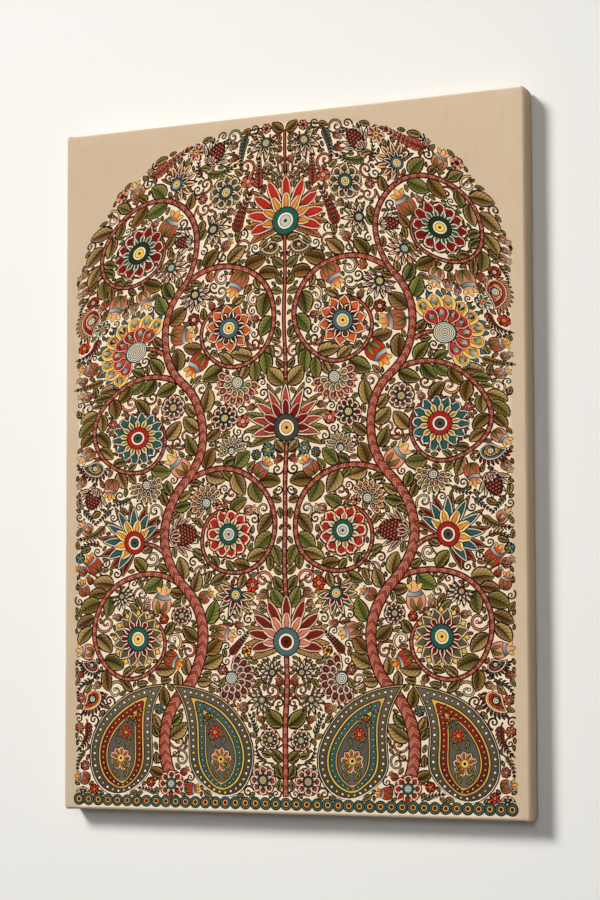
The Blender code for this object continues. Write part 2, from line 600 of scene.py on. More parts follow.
@dataclass(frozen=True)
class Ribbon:
    """A band along a path, half its width to each side."""

    path: Array
    half: Array

    def outline(self, count: int = 0) -> Array:
        """Closed outline: the right edge forwards, then the left edge back.

        Args:
            count: not needed, as the path has its own points.

        Returns:
            The outline.
        """
        run = np.gradient(self.path, axis=0)
        run /= np.linalg.norm(run, axis=1)[:, None] + 1e-12
        off = np.stack([-run[:, 1], run[:, 0]], axis=1) * self.half[:, None]
        return np.concatenate([self.path - off, (self.path + off)[::-1]])

    def place(self, at: Array) -> tuple:
        """Place of each point beside the nearest stretch of the path.

        Args:
            at: the points.

        Returns:
            Distances along and to the left, half-widths and shares of the length.
        """
        gone = distances(self.path)
        run = np.diff(self.path, axis=0)
        size = np.linalg.norm(run, axis=1)
        off = at[:, None, :] - self.path[:-1]
        share = np.clip((off * run).sum(axis=2) / size ** 2, 0.0, 1.0)
        gap = np.linalg.norm(off - share[:, :, None] * run, axis=2)
        k = np.argmin(gap, axis=1)
        row = np.arange(len(at))
        side = np.sign(run[k, 0] * off[row, k, 1] - run[k, 1] * off[row, k, 0])
        along = share[row, k]
        u = gone[k] + along * size[k]
        return u, side * gap[row, k], self.half[k] * (1 - along) + self.half[k + 1] * along, u / gone[-1]


@dataclass(frozen=True)
class Round:
    """A round patch, lobed where it has lobes, its first one at the turn."""

    centre: Sequence[float]
    radius: float
    turn: float = 0.0
    lobes: int = 0

    def outline(self, count: int = 12) -> Array:
        """Closed outline: radius * (1 + 0.06 * cos(lobes * angle)), the second part only with lobes.

        Args:
            count: its points.

        Returns:
            The outline.
        """
        angle = np.linspace(0.0, math.tau, count, endpoint=False)
        reach = 1 + 0.06 * (self.lobes > 0) * np.cos(self.lobes * angle)
        return around(self.centre, angle + self.turn, self.radius * reach)

    def place(self, at: Array) -> tuple:
        """Place of each point from the middle, turned with the patch.

        Args:
            at: the points.

        Returns:
            Distances along and to the left, the radius and the share of it.
        """
        x, y = (at - np.asarray(self.centre)).T
        c, s = math.cos(self.turn), math.sin(self.turn)
        u, v = x * c + y * s, y * c - x * s
        return u, v, np.full(len(at), self.radius), np.hypot(u, v) / self.radius


class Patch(NamedTuple):
    """One patch of the print."""

    shape: Union[Blade, Ribbon, Round]  # Its outline and inner places
    points: Array  # The outline, anticlockwise
    pattern: Pattern  # What is drawn in it
    dyes: tuple  # The dyes at its start and at its end
    rank: int  # Order over the other patches
    line: float  # Width of its ink line
    single: bool  # Whether it stands on the middle line and isn't mirrored


class Print:
    """The patches of the right half, and the luck that varies them."""

    def __init__(self, seed: int) -> None:
        """Start empty.

        Args:
            seed: what the luck starts from.
        """
        self.patches: list[Patch] = []
        self.luck = np.random.default_rng(seed)
        self.single = False

    def lay(self, shape: Union[Blade, Ribbon, Round], layer: Layer, pattern: Pattern, pair: tuple,
            line: float = 0.75, count: int = 8) -> None:
        """Add a patch on top of its layer, with two dyes, an ink line's width and its outline's steps."""
        rank = layer.value * 100000 + len(self.patches)
        self.patches.append(Patch(shape, shape.outline(count), pattern, pair, rank, line, self.single))

    def lay_leaf(self, blade: Blade, layer: Layer) -> None:
        """Add a leaf in one of the greens or browns, its ink line finer on a small one."""
        pair = LEAF_DYES[self.luck.integers(len(LEAF_DYES))]
        self.lay(blade, layer, Pattern.LEAF, pair, *((1.0, 8) if blade.length > 13 else (0.75, 7)))


# Motifs

class FlowerDyes(NamedTuple):
    """Dyes of one flower: outer and inner petals, eye, and what shows behind the petals."""

    outer: tuple
    inner: tuple
    eye: tuple
    sepal: tuple


LEAF_DYES = dyes("MOSS SAGE OLIVE SAGE MOSS STONE OLIVE SAND PINE SAGE BARK STONE MOSS KHAKI BARK KHAKI "
                 "BARK SAND FERN SAGE FERN STONE")
FLOWER_DYES = [FlowerDyes(*dyes(names)) for names in (
    "MAROON RED TEAL SEA PINE GOLD PINE FERN", "SCARLET ORANGE RED MAROON SLATE GOLD MAROON PLUM",
    "TEAL SLATE ORANGE GOLD RED CHARCOAL MAROON RED", "RED SCARLET ORANGE OCHRE TEAL ICE RUST ORANGE",
    "CHARCOAL STONE MAROON RED TEAL GOLD OCHRE GOLD", "BRICK ROSE MAROON RED CHARCOAL OCHRE OLIVE SAGE",
    "ORANGE GOLD SCARLET RED PINE ICE TEAL SLATE", "MAROON BRICK ROSE BLUSH SLATE MAROON OCHRE RUST")]
FLORET_DYES = dyes("RED SCARLET GOLD ORANGE GOLD MAROON SLATE SEA GOLD MAROON BRICK CREAM TEAL SEA ORANGE "
                   "ROSE BLUSH PINE SCARLET ORANGE ICE BRICK ROSE CREAM", 3)
BUD_DYES = dyes("BRICK ROSE RED SCARLET ROSE BLUSH BRICK BLUSH")
FROND_DYES = dyes("PINE SEA FERN SAGE RED ROSE TEAL SLATE MAROON BRICK OLIVE OCHRE")
CURL_DYES = dyes("ROSE BLUSH SAND CREAM RUST ROSE STONE CREAM")
STEM_DYES = (Dye.BRICK, Dye.ROSE)


@dataclass(frozen=True)
class Motif:
    """What the motifs share."""

    base: Sequence[float]  # The foot or the middle
    heading: float  # Where it points, or where its first petal does
    size: float  # Its reach
    dyes: Union[FlowerDyes, tuple]

    def spoke(self, turn: float, near: float, far: float, width: float, form: Form = Form.PETAL,
              bend: float = 0.0) -> Blade:
        """A blade that points away from the base, its sizes as shares of the motif's.

        Args:
            turn: its angle from the heading.
            near: distance of its foot.
            far: distance of its tip.
            width: its width.
            form: its outline.
            bend: how far it turns.

        Returns:
            The blade.
        """
        near, far, angle = near * self.size, far * self.size, self.heading + turn
        foot = polar(self.base, angle, near)
        return Blade(foot, angle - 0.5 * bend, far - near, width * self.size, bend, form)

    def ring(self, cloth: Print, turns: Sequence[float], sizes: tuple, *look: object,
             form: Form = Form.PETAL) -> None:
        """Lay spokes round the base, each with the sizes of a spoke and the look of a patch."""
        for turn in turns:
            cloth.lay(self.spoke(turn, *sizes, form), *look)


@dataclass(frozen=True)
class Rosette(Motif):
    """A round flower: sepals, two rings of petals and an eye with rays."""

    petals: int
    form: Form = Form.PETAL

    def draw(self, cloth: Print) -> None:
        """Lay it from the sepals inwards.

        Args:
            cloth: the print.
        """
        step = math.tau / self.petals
        even, odd = step * np.arange(self.petals), step * (np.arange(self.petals) + 0.5)
        more = 0 if self.size < 20 else 1
        self.ring(cloth, odd, (0.4, 1.0, 0.6 * step), Layer.BACK, Pattern.PLAIN, self.dyes.sepal, 0.75, 5,
                  form=Form.LEAF)
        self.ring(cloth, even, (0.3, 0.97, 0.9 * step), Layer.BLOOM, Pattern.PETAL, self.dyes.outer, 0.75,
                  6 + 2 * more, form=self.form)
        self.ring(cloth, odd, (0.24, 0.68, 0.58 * step), Layer.BLOOM, Pattern.PETAL, self.dyes.inner, 0.75,
                  5 + more)
        cloth.lay(Round(self.base, 0.42 * self.size, self.heading, self.petals), Layer.BLOOM, Pattern.EYE,
                  self.dyes.eye, count=2 * self.petals)

    def hull(self) -> Array:
        """Outline of the room that it takes."""
        return Round(self.base, self.size + 0.8).outline(24)


@dataclass(frozen=True)
class Fan(Motif):
    """A flower seen from the side: fans of petals over one another on a round cup."""

    petals: int
    pointed: bool = False

    def petal(self, share: float, near: float, far: float, spread: float, width: float, form: Form) -> Blade:
        """A petal at a share of the spread, from -1 to 1, and shorter at the sides."""
        return self.spoke(share * spread, near, far * (1 - 0.2 * share ** 2), width, form, 0.5 * share)

    def draw(self, cloth: Print) -> None:
        """Lay the fans from the back to the front, the outer petals first, then the cup.

        A flower on the middle line leaves its left petals to the mirror.

        Args:
            cloth: the print.
        """
        n = self.petals
        form = Form.LEAF if self.pointed else Form.PETAL
        middle = self.base[0] == 0.0
        back = (0.1, 1.0, 1.95, 2.0 / (n + 3))
        outer = (0.08, 0.9, 1.7, 2.1 / (n + 2))
        inner = (0.06, 0.6, 1.5, 1.5 / n)
        for sizes, count, *look in (
                ((*back, Form.LEAF), n + 4, Layer.BACK, Pattern.LEAF, self.dyes.sepal, 0.75, 7),
                ((*outer, form), n + 2, Layer.BLOOM, Pattern.PETAL, self.dyes.outer, 0.75, 7),
                ((*inner, Form.PETAL), n, Layer.BLOOM, Pattern.PETAL, self.dyes.inner, 0.75, 6)):
            for share in sorted(shares(count), key=lambda place: -abs(place)):
                blade = self.petal(share, *sizes)
                aside = blade.spot(1.0)[0]
                cloth.single = middle and aside < 0.5
                if not middle or aside >= -0.5:
                    cloth.lay(blade, *look)
        cup = Round(polar(self.base, self.heading, 0.06 * self.size), 0.27 * self.size, self.heading)
        cloth.single = middle
        cloth.lay(cup, Layer.BLOOM, Pattern.EYE, self.dyes.eye, count=16)
        cloth.single = False

    def hull(self) -> Array:
        """Outline of the room that it takes."""
        tips = [self.petal(share, 0.1, 1.03, 1.95, 0.2, Form.LEAF).spot(1.0) for share in shares(9)]
        return np.array([*tips, polar(self.base, self.heading + math.pi, 0.2 * self.size)])


@dataclass(frozen=True)
class Shell(Motif):
    """A scalloped half-round flower: rings of rounded scales with drops in them, on a coiled eye."""

    def draw(self, cloth: Print) -> None:
        """Lay the fringe, the scales with their drops, and the coil.

        Args:
            cloth: the print.
        """
        self.ring(cloth, 0.27 * np.arange(-6, 7), (0.6, 1.0, 0.2), Layer.BACK, Pattern.PLAIN, self.dyes.sepal,
                  0.75, 5, form=Form.LEAF)
        for count, near, far, pair in ((9, 0.3, 0.9, self.dyes.outer), (7, 0.2, 0.62, self.dyes.inner)):
            step = 3.3 / (count - 1)
            wide = 1.12 * step * far
            for k in range(count):
                turn = [(k - (count - 1) / 2) * step]
                self.ring(cloth, turn, (near, far, wide), Layer.BLOOM, Pattern.PETAL, pair, 0.75, 7)
                self.ring(cloth, turn, (far - 0.27, far - 0.08, 0.42 * wide), Layer.BLOOM, Pattern.PLAIN,
                          self.dyes.eye, 0.4, 5)
        cloth.lay(Round(self.base, 0.27 * self.size, self.heading), Layer.BLOOM, Pattern.SPIRAL,
                  (self.dyes.eye[0], Dye.SLATE), count=15)

    def hull(self) -> Array:
        """Outline of the room that it takes."""
        fringe = around(self.base, self.heading + np.linspace(-1.75, 1.75, 14), 1.02 * self.size)
        return np.array([*fringe, polar(self.base, self.heading + math.pi, 0.3 * self.size)])


@dataclass(frozen=True)
class Plume(Motif):
    """A bent drop with a fringe along its back, a feathered heart and a coiled eye.

    Its hand is 1 where it bends to the left and -1 to the right.
    """

    hand: int

    def body(self, scale: float, inset: float) -> Blade:
        """The drop at a scale, shrunk towards its round end, its start moved up by a share of its size."""
        start = polar(self.base, self.heading + math.pi, (0.34 - inset) * self.size * scale)
        return Blade(start, self.heading - 0.35 * self.hand, self.size * scale, 0.66 * self.size * scale,
                     1.35 * self.hand, Form.DROP)

    def draw(self, cloth: Print) -> None:
        """Lay the fringe, the nested drops and the coil.

        Args:
            cloth: the print.
        """
        body = self.body(1.0, 0.0)
        for t in np.linspace(0.06, 0.84, 10):
            foot = body.spot(t, -0.75 * self.hand)
            out = body.heading + body.arc * t - self.hand * (1.75 - 1.25 * t)
            blade = Blade(foot, out, 0.27 * self.size, 0.13 * self.size, 0.4 * self.hand)
            cloth.lay(blade, Layer.BACK, Pattern.PLAIN, self.dyes.sepal, count=5)
        cloth.lay(body, Layer.BLOOM, Pattern.PETAL, self.dyes.outer, count=11)
        cloth.lay(self.body(0.66, -0.02), Layer.BLOOM, Pattern.LEAF, self.dyes.inner, count=9)
        cloth.lay(Round(self.base, 0.15 * self.size, self.heading), Layer.BLOOM, Pattern.SPIRAL,
                  (self.dyes.eye[0], Dye.SLATE), count=12)

    def hull(self) -> Array:
        """Outline of the room that it takes."""
        wide = self.body(1.0, 0.0)
        return replace(wide, length=wide.length * 1.03, width=wide.width * 1.3).outline(10)


@dataclass(frozen=True)
class Cluster(Motif):
    """A hanging bunch of berries under a ring of petals, with leaves at its sides."""

    def bunch(self, length: float, width: float) -> Blade:
        """The bunch, its sizes as shares of the motif's."""
        return Blade(self.base, self.heading, length * self.size, width * self.size, 0.0, Form.TONGUE)

    def draw(self, cloth: Print) -> None:
        """Lay the side leaves, the bunch and the petals over its top.

        Args:
            cloth: the print.
        """
        for k in range(-3, 4):
            self.ring(cloth, [0.3 * k], (0.3, 1.04 - 0.05 * abs(k), 0.2), Layer.BACK, Pattern.PETAL,
                      self.dyes.sepal, 0.75, 6, form=Form.LEAF)
        cloth.lay(self.bunch(0.92, 0.66), Layer.BLOOM, Pattern.BERRY, (Dye.MAROON, Dye.ROSE), count=12)
        self.ring(cloth, (-1.0, 1.0, -0.5, 0.5, 0.0), (0.02, 0.4, 0.22), Layer.BLOOM, Pattern.PETAL,
                  self.dyes.outer, 0.75, 6, form=Form.LEAF)

    def hull(self) -> Array:
        """Outline of the room that it takes."""
        return self.bunch(1.05, 0.9).outline(9)


@dataclass(frozen=True)
class Floret(Motif):
    """A small flower of one ring of petals round a dot, whose dye comes last."""

    petals: int

    def draw(self, cloth: Print, layer: Layer = Layer.BUD) -> None:
        """Lay the petals, then the dot.

        Args:
            cloth: the print.
            layer: where.
        """
        step = math.tau / self.petals
        pattern = Pattern.PETAL if self.size > 8 else Pattern.PLAIN
        self.ring(cloth, step * np.arange(self.petals), (0.12, 1.0, 0.84 * step), layer, pattern,
                  self.dyes[:2], 0.5, 6)
        cloth.lay(Round(self.base, 0.36 * self.size), layer, Pattern.DOT, self.dyes[2:] * 2, 0.55, 9)
        cloth.lay(Round(self.base, 0.13 * self.size), layer, Pattern.PLAIN, (Dye.INK, Dye.INK), 0.0, 6)


@dataclass(frozen=True)
class Bud(Motif):
    """A closed flower on a collar, with two sepals and a crown of points."""

    collar: Dye

    def draw(self, cloth: Print) -> None:
        """Lay the crown, the bulb, the collar and the sepals.

        Args:
            cloth: the print.
        """
        size = self.size
        bulb = Blade(self.base, self.heading, 0.74 * size, 0.74 * size, 0.0, Form.TONGUE)
        for k in (-1, 1, 0):
            crown = Blade(bulb.spot(0.84), self.heading + 0.6 * k, 0.4 * size, 0.24 * size, 0.5 * k)
            cloth.lay(crown, Layer.BUD, Pattern.PLAIN, (self.dyes[1], Dye.GOLD), 0.5, 5)
        cloth.lay(bulb, Layer.BUD, Pattern.BUD, self.dyes, 0.65)
        path = np.array([bulb.spot(0.8, -0.92), bulb.spot(0.72), bulb.spot(0.8, 0.92)])
        collar = Ribbon(path, np.full(3, 0.085 * size))
        cloth.lay(collar, Layer.BUD, Pattern.PLAIN, (self.collar, Dye.ICE), 0.45)
        for k in (-1, 1):
            sepal = Blade(self.base, self.heading + 0.8 * k, 0.5 * size, 0.2 * size, -1.0 * k)
            cloth.lay(sepal, Layer.BUD, Pattern.PLAIN, (Dye.MOSS, Dye.SAGE), 0.5, 5)


@dataclass(frozen=True)
class Frond:
    """A curved rib with pairs of leaflets, the longest as long as its reach."""

    path: Array
    reach: float
    dyes: tuple

    def draw(self, cloth: Print) -> None:
        """Lay the leaflets, then the tip and the rib.

        Args:
            cloth: the print.
        """
        count = len(self.path)
        heading = headings(self.path)
        look = Layer.LEAF, Pattern.PLAIN, self.dyes, 0.5, 5
        for k in range(1, count - 1):
            length = self.reach * (1.0 - 0.62 * k / count)
            for side in (-1, 1):
                leaflet = Blade(self.path[k], heading[k] + 0.85 * side, length, 0.42 * length, -0.5 * side)
                cloth.lay(leaflet, *look)
        cloth.lay(Blade(self.path[-2], heading[-1], 0.8 * self.reach, 0.3 * self.reach), *look)
        rib = Ribbon(self.path, np.linspace(0.95, 0.6, count))
        cloth.lay(rib, Layer.LEAF, Pattern.PLAIN, (Dye.BARK, Dye.KHAKI), 0.4)

    def hull(self) -> Array:
        """Outline of the room that it takes."""
        return Ribbon(self.path, self.reach * np.linspace(0.72, 0.4, len(self.path))).outline()


@dataclass(frozen=True)
class Tendril(Motif):
    """A thin curl that winds in on itself and ends in a bead.

    The radius at t is size * (0.2 + 0.8 * (1 - t)^1.6), while the angle turns evenly, to the hand's side.
    """

    hand: int

    def draw(self, cloth: Print) -> None:
        """Lay the curl and its bead.

        Args:
            cloth: the print.
        """
        t = np.linspace(0.0, 1.0, 17)
        reach = self.size * (0.2 + 0.8 * (1 - t) ** 1.6)
        path = around(self.base, self.heading + self.hand * 8.2 * t, reach)
        broad = 0.17 * self.size
        curl = Ribbon(path, np.linspace(broad, 0.6 * broad, len(t)))
        cloth.lay(curl, Layer.FILLER, Pattern.PLAIN, self.dyes, 0.65)
        cloth.lay(Round(path[-1], 1.15 * broad), Layer.FILLER, Pattern.DOT, self.dyes[1:] * 2, 0.6, 8)

    def hull(self) -> Array:
        """Outline of the room that it takes."""
        return Round(self.base, 0.86 * self.size).outline()


# Layout of the print

class Ground:
    """Which square millimetres of the right half are taken."""

    def __init__(self) -> None:
        """Start bare, with what lies outside the field's round and wavering shoulders taken."""
        self.columns = int(FIELD_HALF)
        self.rows = int(FIELD_TOP - FIELD_LOW)
        across = np.arange(self.columns) + 0.5 - (FIELD_HALF - SHOULDER)
        up = np.arange(self.rows) + 0.5 + FIELD_LOW - (FIELD_TOP - SHOULDER)
        reach = np.hypot(np.maximum(across, 0)[None, :], np.maximum(up, 0)[:, None])
        self.taken = reach > SHOULDER + 3.0 * np.sin(14.0 * np.arctan2(up[:, None], across[None, :]))

    def cover(self, outline: Array) -> Optional[tuple]:
        """Cells inside an outline, by crossings to their right.

        Args:
            outline: closed outline.

        Returns:
            Rows, columns and mask, or None where the outline leaves the field.
        """
        off = outline - (0.0, FIELD_LOW)
        low, high = np.floor(off.min(axis=0)).astype(int), np.ceil(off.max(axis=0)).astype(int)
        if low.min() < 0 or high[0] > self.columns or high[1] > self.rows:
            return None
        across, up = np.arange(low[0], high[0]) + 0.5, np.arange(low[1], high[1]) + 0.5
        ax, ay = off.T[:, :, None]
        bx, by = np.roll(off, -1, axis=0).T[:, :, None]
        cut = ax + (up - ay) * (bx - ax) / np.where(by == ay, 1.0, by - ay)
        crosses = ((ay > up) != (by > up))[:, :, None] & (across < cut[:, :, None])
        return slice(low[1], high[1]), slice(low[0], high[0]), np.logical_xor.reduce(crosses, axis=0)

    def share(self, outline: Array) -> float:
        """Share of an outline that is taken already, 1 where it leaves the field."""
        found = self.cover(outline)
        return 1.0 if found is None or not found[2].any() else float(self.taken[found[:2]][found[2]].mean())

    def take(self, outline: Array) -> None:
        """Mark the inside of an outline as taken, cut off at the field's edge.

        Args:
            outline: closed outline.
        """
        kept = np.clip(outline, (0.0, FIELD_LOW), (self.columns, FIELD_LOW + self.rows))
        rows, columns, inside = self.cover(kept)
        self.taken[rows, columns] |= inside

    def rooms(self, side: int, luck: np.random.Generator) -> Array:
        """Middles of the bare squares of a side, in random order, from running sums of what is taken.

        Args:
            side: side of the square.
            luck: the choices.

        Returns:
            The middles.
        """
        total = np.zeros((self.rows + 1, self.columns + 1), int)
        total[1:, 1:] = self.taken.cumsum(axis=0).cumsum(axis=1)
        places = np.argwhere(total[side:, side:] - total[:-side, side:] - total[side:, :-side]
                             + total[:-side, :-side] == 0)
        luck.shuffle(places)
        return places[:, ::-1] + (side / 2, side / 2 + FIELD_LOW)

    def bare(self, at: Array) -> bool:
        """Whether the cell at a point is bare."""
        return not self.taken[int(at[1] - FIELD_LOW), int(at[0])]


class Nook(NamedTuple):
    """A place to fill."""

    at: Array  # Its middle
    spot: Array  # The closest point of any vine
    gap: float  # How far off that is
    away: float  # Direction away from it
    size: float  # Size of the motif
    found: int  # How many of that size have been drawn


@dataclass
class Design:
    """Scrolling vines with flowers over a row of bent drops, the left half the mirror of the right."""

    rows: int = 5  # Scrolls, one over the other
    top_row: float = 243.0  # Height of the highest one's middle
    row_step: float = 105.0  # Height from one to the next
    inner: float = 62.0  # How far the inner ones lie from the middle line
    outer: float = 164.0  # How far the outer ones do
    scroll_eye: float = 22.0  # Radius where a scroll ends
    rings: int = 22  # Rings along the border's right half
    twig_reach: float = 26.0  # How far a twig goes at most

    KINDS = ((Shell, 0.42, 1.4), (Fan, 0.5, 1.5, 5, True), (Rosette, 0.0, 1.0, 8), (Plume, 0.45, 1.9, 1),
             (Cluster, 0.8, 1.8), (Fan, 0.5, 1.45, 6))

    def __post_init__(self) -> None:
        """Start with a bare cloth."""
        self.cloth = Print(seed=11)
        self.ground = Ground()
        self.luck = self.cloth.luck
        self.vines: list[tuple] = []
        self.flowers = 0

    def draw(self) -> Print:
        """Lay the whole right half. A scatter's sizes come with the room's side, a limit and the tries.

        Returns:
            The print.
        """
        self.grow_vines()
        self.set_flowers()
        self.set_foot()
        self.scatter(self.try_flower, (19.0, 28, 7, None), (15.0, 22, 12, None), (12.0, 18, 9, None))
        self.scatter(self.try_bud, (15.0, 18, 7, 1500), (12.0, 14, 10, 1500))
        self.scatter(self.try_tendril, (10.5, 11, 12, 900), (9.0, 9, 22, 900))
        self.leaf_vines()
        self.scatter(self.try_frond, (46.0, 6, 6, 700), (34.0, 6, 12, 700), (25.0, 6, 12, 700))
        self.scatter(self.try_bud, (9.5, 11, 26, 1500), (7.5, 9, 40, 1500), (5.8, 6, 40, 1500))
        self.scatter(self.try_tendril, (7.0, 7, 34, 900), (5.6, 6, 40, 900))
        self.scatter(self.try_leaf, (24.0, 8, None, 500), (20.0, 7, None, 700), (16.0, 5, None, 900),
                     (12.5, 4, None, 1100), (9.5, 3, None, 1300), (7.0, 3, None, 1300))
        return self.cloth

    def place(self, motif: Union[Motif, Frond]) -> None:
        """Draw a motif and take the room of each of its patches.

        Args:
            motif: the motif.
        """
        first = len(self.cloth.patches)
        motif.draw(self.cloth)
        for patch in self.cloth.patches[first:]:
            self.ground.take(patch.points)

    def add_vine(self, path: Array, thick: float, thin: float) -> None:
        """Lay a vine that thins evenly and take its room.

        Args:
            path: its middle line.
            thick: half its width at the start.
            thin: half its width at the end.
        """
        half = np.linspace(thick, thin, len(path))
        self.vines.append((path, half))
        self.cloth.lay(Ribbon(path, half), Layer.STEM, Pattern.STEM, STEM_DYES, 0.85)
        self.ground.take(Ribbon(path, half + 0.3).outline())

    def row(self, row: int) -> tuple:
        """Middle of a row's scroll, by turns in the outer and the inner column."""
        return self.inner if row % 2 else self.outer, self.top_row - self.row_step * row

    def grow_vines(self) -> None:
        """The winding main vine, a scroll in each of its bays, and the stalk on the middle line.

        A scroll's radius shrinks in even ratio to that of its eye, with a slight waver of the hand.
        """
        reach = 0.5 * math.hypot(self.outer - self.inner, self.row_step)
        lean = math.atan2(self.row_step, self.outer - self.inner)
        main = [around(self.row(self.rows), np.linspace(-0.5, lean, 14), reach)]
        t = np.linspace(0.0, 1.0, 80)
        for row in reversed(range(self.rows)):
            centre = self.row(row)
            hand, away = (1.0, 0.0) if row % 2 else (-1.0, math.pi)
            angle = np.linspace(away - hand * lean, away + hand * lean, 22)
            if row > 0:
                main.append(around(centre, angle, reach)[1:])
            start = angle[-1] if row > 0 else angle[0]
            turn = start + hand * (math.radians(430) + (0.0 if row > 0 else 2 * lean)) * t
            waver = 1 + 0.016 * np.sin(3.1 * turn + centre[1]) * np.sin(math.pi * t)
            self.add_vine(around(centre, turn, reach * (self.scroll_eye / reach) ** t * waver), 3.4, 1.9)
        self.add_vine(np.concatenate(main), 6.8, 4.0)
        self.cloth.single = True
        up = np.linspace(FIELD_LOW + 14.0, FIELD_TOP - 12.0, 40)
        self.add_vine(np.stack([np.zeros(len(up)), up], axis=1), 3.4, 1.8)
        self.cloth.single = False

    def set_flowers(self) -> None:
        """Large flowers in the scrolls, on the middle line and at the margins."""
        sizes = ((30.0, 12), (27.0, 10), (31.0, 14), (27.0, 11), (30.0, 12))
        for row, (radius, petals) in enumerate(sizes):
            form = Form.SPEAR if row in (1, 4) else Form.PETAL
            self.place(Rosette(self.row(row), 0.2 * row, radius, FLOWER_DYES[row], petals, form))
        for row, drop in ((0, 6.0), (2, 4.0), (4, 6.0)):
            base = (0.0, self.top_row - row * self.row_step - drop)
            self.place(Fan(base, math.pi / 2, 54.0, FLOWER_DYES[(row + 3) % 8], 7, row == 2))
        for row in (1, 3):
            base = np.array([168.0, self.row(row)[1] - 8.0])
            self.add_vine(swoop(base - (31.0, 9.0), base, 0.12, 8), 2.9, 2.3)
            self.place(Shell(base, math.radians(38), 46.0, FLOWER_DYES[6]) if row == 1
                       else Fan(base, math.radians(46), 46.0, FLOWER_DYES[2], 6, True))

    def set_foot(self) -> None:
        """Large bent drops side by side with small flowers between them, on a border of rings."""
        for x, lean, length, hand, names in ((74.0, 107, 136.0, -1, "TEAL SLATE GOLD OCHRE"),
                                             (180.0, 71, 134.0, 1, "MAROON RED OCHRE GOLD")):
            blade = Blade((x, -333.0), math.radians(lean), length, 74.0, 1.5 * hand, Form.DROP)
            self.draw_drop(blade, *dyes(names))
            self.ground.take(blade.outline(24))
        for x, y, radius, petals, kind in ((24.0, -318.0, 15.0, 8, 5), (127.0, -322.0, 15.0, 8, 3),
                                           (228.0, -336.0, 9.0, 6, 0)):
            self.place(Rosette((x, y), 0.0, radius, FLOWER_DYES[kind], petals))
        pitch = 2 * FIELD_HALF / (2 * self.rings - 1)
        for k in range(self.rings):
            centre = (k * pitch, FIELD_LOW + 7.0)
            self.cloth.single = k == 0
            for radius, pair in ((6.4, (Dye.TEAL, Dye.SLATE)), (4.0, (Dye.GOLD, Dye.ORANGE))):
                ring = Round(centre, radius, math.pi / 2)
                self.cloth.lay(ring, Layer.BAND, Pattern.DOT, pair[::(-1) ** k], 0.7, 14)
            self.cloth.lay(Round(centre, 2.0), Layer.BAND, Pattern.DOT, (Dye.RED, Dye.MAROON), 0.5)
            self.ground.take(Round(centre, 6.0).outline(14))
        self.cloth.single = False

    def draw_drop(self, blade: Blade, heart: tuple, trim: tuple) -> None:
        """A large drop: nested borders, rows of beads and a chain of flowers up its middle.

        Args:
            blade: its outline.
            heart: dyes of the middle.
            trim: dyes of the thin rings and the beads.
        """
        body = (Dye.CHARCOAL, Dye.ASH)
        for inset, pair, line in ((0.0, (Dye.CREAM, Dye.SAND), 0.9), (2.0, body, 0.7), (10.0, trim, 0.7),
                                  (12.6, heart, 0.7), (19.0, trim[::-1], 0.6), (21.0, body[::-1], 0.6)):
            self.cloth.lay(replace(blade, inset=inset), Layer.BLOOM, Pattern.PLAIN, pair, line, 24)
        for inset, pitch, radius, pair in ((6.0, 6.4, 2.1, (trim[0], Dye.CREAM)),
                                           (16.0, 5.6, 1.7, (Dye.ICE, trim[1]))):
            outline = replace(blade, inset=inset).outline(60)
            closed = np.concatenate([outline, outline[:1]])
            gone = distances(closed)
            count = int(gone[-1] / pitch)
            for k in range(count):
                at = [np.interp(gone[-1] * k / count, gone, closed[:, axis]) for axis in (0, 1)]
                self.cloth.lay(Round(at, radius), Layer.BLOOM, Pattern.DOT, (pair[k % 2],) * 2, 0.55)
        for t, radius, petals, kind in ((0.27, 12.5, 9, 1), (0.47, 7.0, 8, 3), (0.6, 4.2, 6, 6)):
            trio = (*FLOWER_DYES[kind].outer, Dye.GOLD)
            Floret(blade.spot(t), 0.3, radius, trio, petals).draw(self.cloth, Layer.BAND)
        for t in (0.13, 0.2, 0.37, 0.42, 0.54, 0.66):
            for side in (-1, 1):
                leaf = Blade(blade.spot(t, 0.08 * side), blade.heading + blade.arc * t + 0.9 * side,
                             13.0 - 8.0 * t, 6.5 - 4.0 * t, -0.7 * side)
                self.cloth.lay(leaf, Layer.BAND, Pattern.LEAF, (Dye.FERN, Dye.SAGE), 0.6, 5)

    def leaf_vines(self) -> None:
        """Leaves along each vine, by turns to its left and its right."""
        for path, half in self.vines:
            gone, heading = distances(path), headings(path)
            side, along = 1, 3.0
            while along < gone[-1] - 3:
                k = int(np.searchsorted(gone, along))
                for hand in (side, -side):
                    if hand == side or self.luck.random() < 0.7:
                        self.try_vine_leaf(polar(path[k], heading[k] + hand * math.pi / 2, half[k] - 0.8),
                                           heading[k], hand)
                side = -side
                along += self.luck.uniform(8.0, 11.0)

    def try_vine_leaf(self, base: Array, heading: float, hand: int) -> None:
        """Grow the longest leaf that fits beside a vine.

        Args:
            base: point on the vine's edge.
            heading: the vine's direction there.
            hand: 1 for its left, -1 for its right.
        """
        for length in (27.0, 23.0, 19.0, 15.0):
            grown = 0.92 * length * self.luck.uniform(0.92, 1.08)
            angle = heading + hand * self.luck.uniform(0.7, 1.15)
            width = grown * self.luck.uniform(0.6, 0.74)
            blade = Blade(base, angle, grown, width, -hand * self.luck.uniform(0.2, 0.7))
            core = Blade(blade.spot(0.14), angle, 0.86 * grown, 0.86 * width, 0.85 * blade.bend)
            if self.ground.share(core.outline(9)) < 0.14:
                self.cloth.lay_leaf(blade, Layer.LEAF)
                self.ground.take(blade.outline(9))
                return

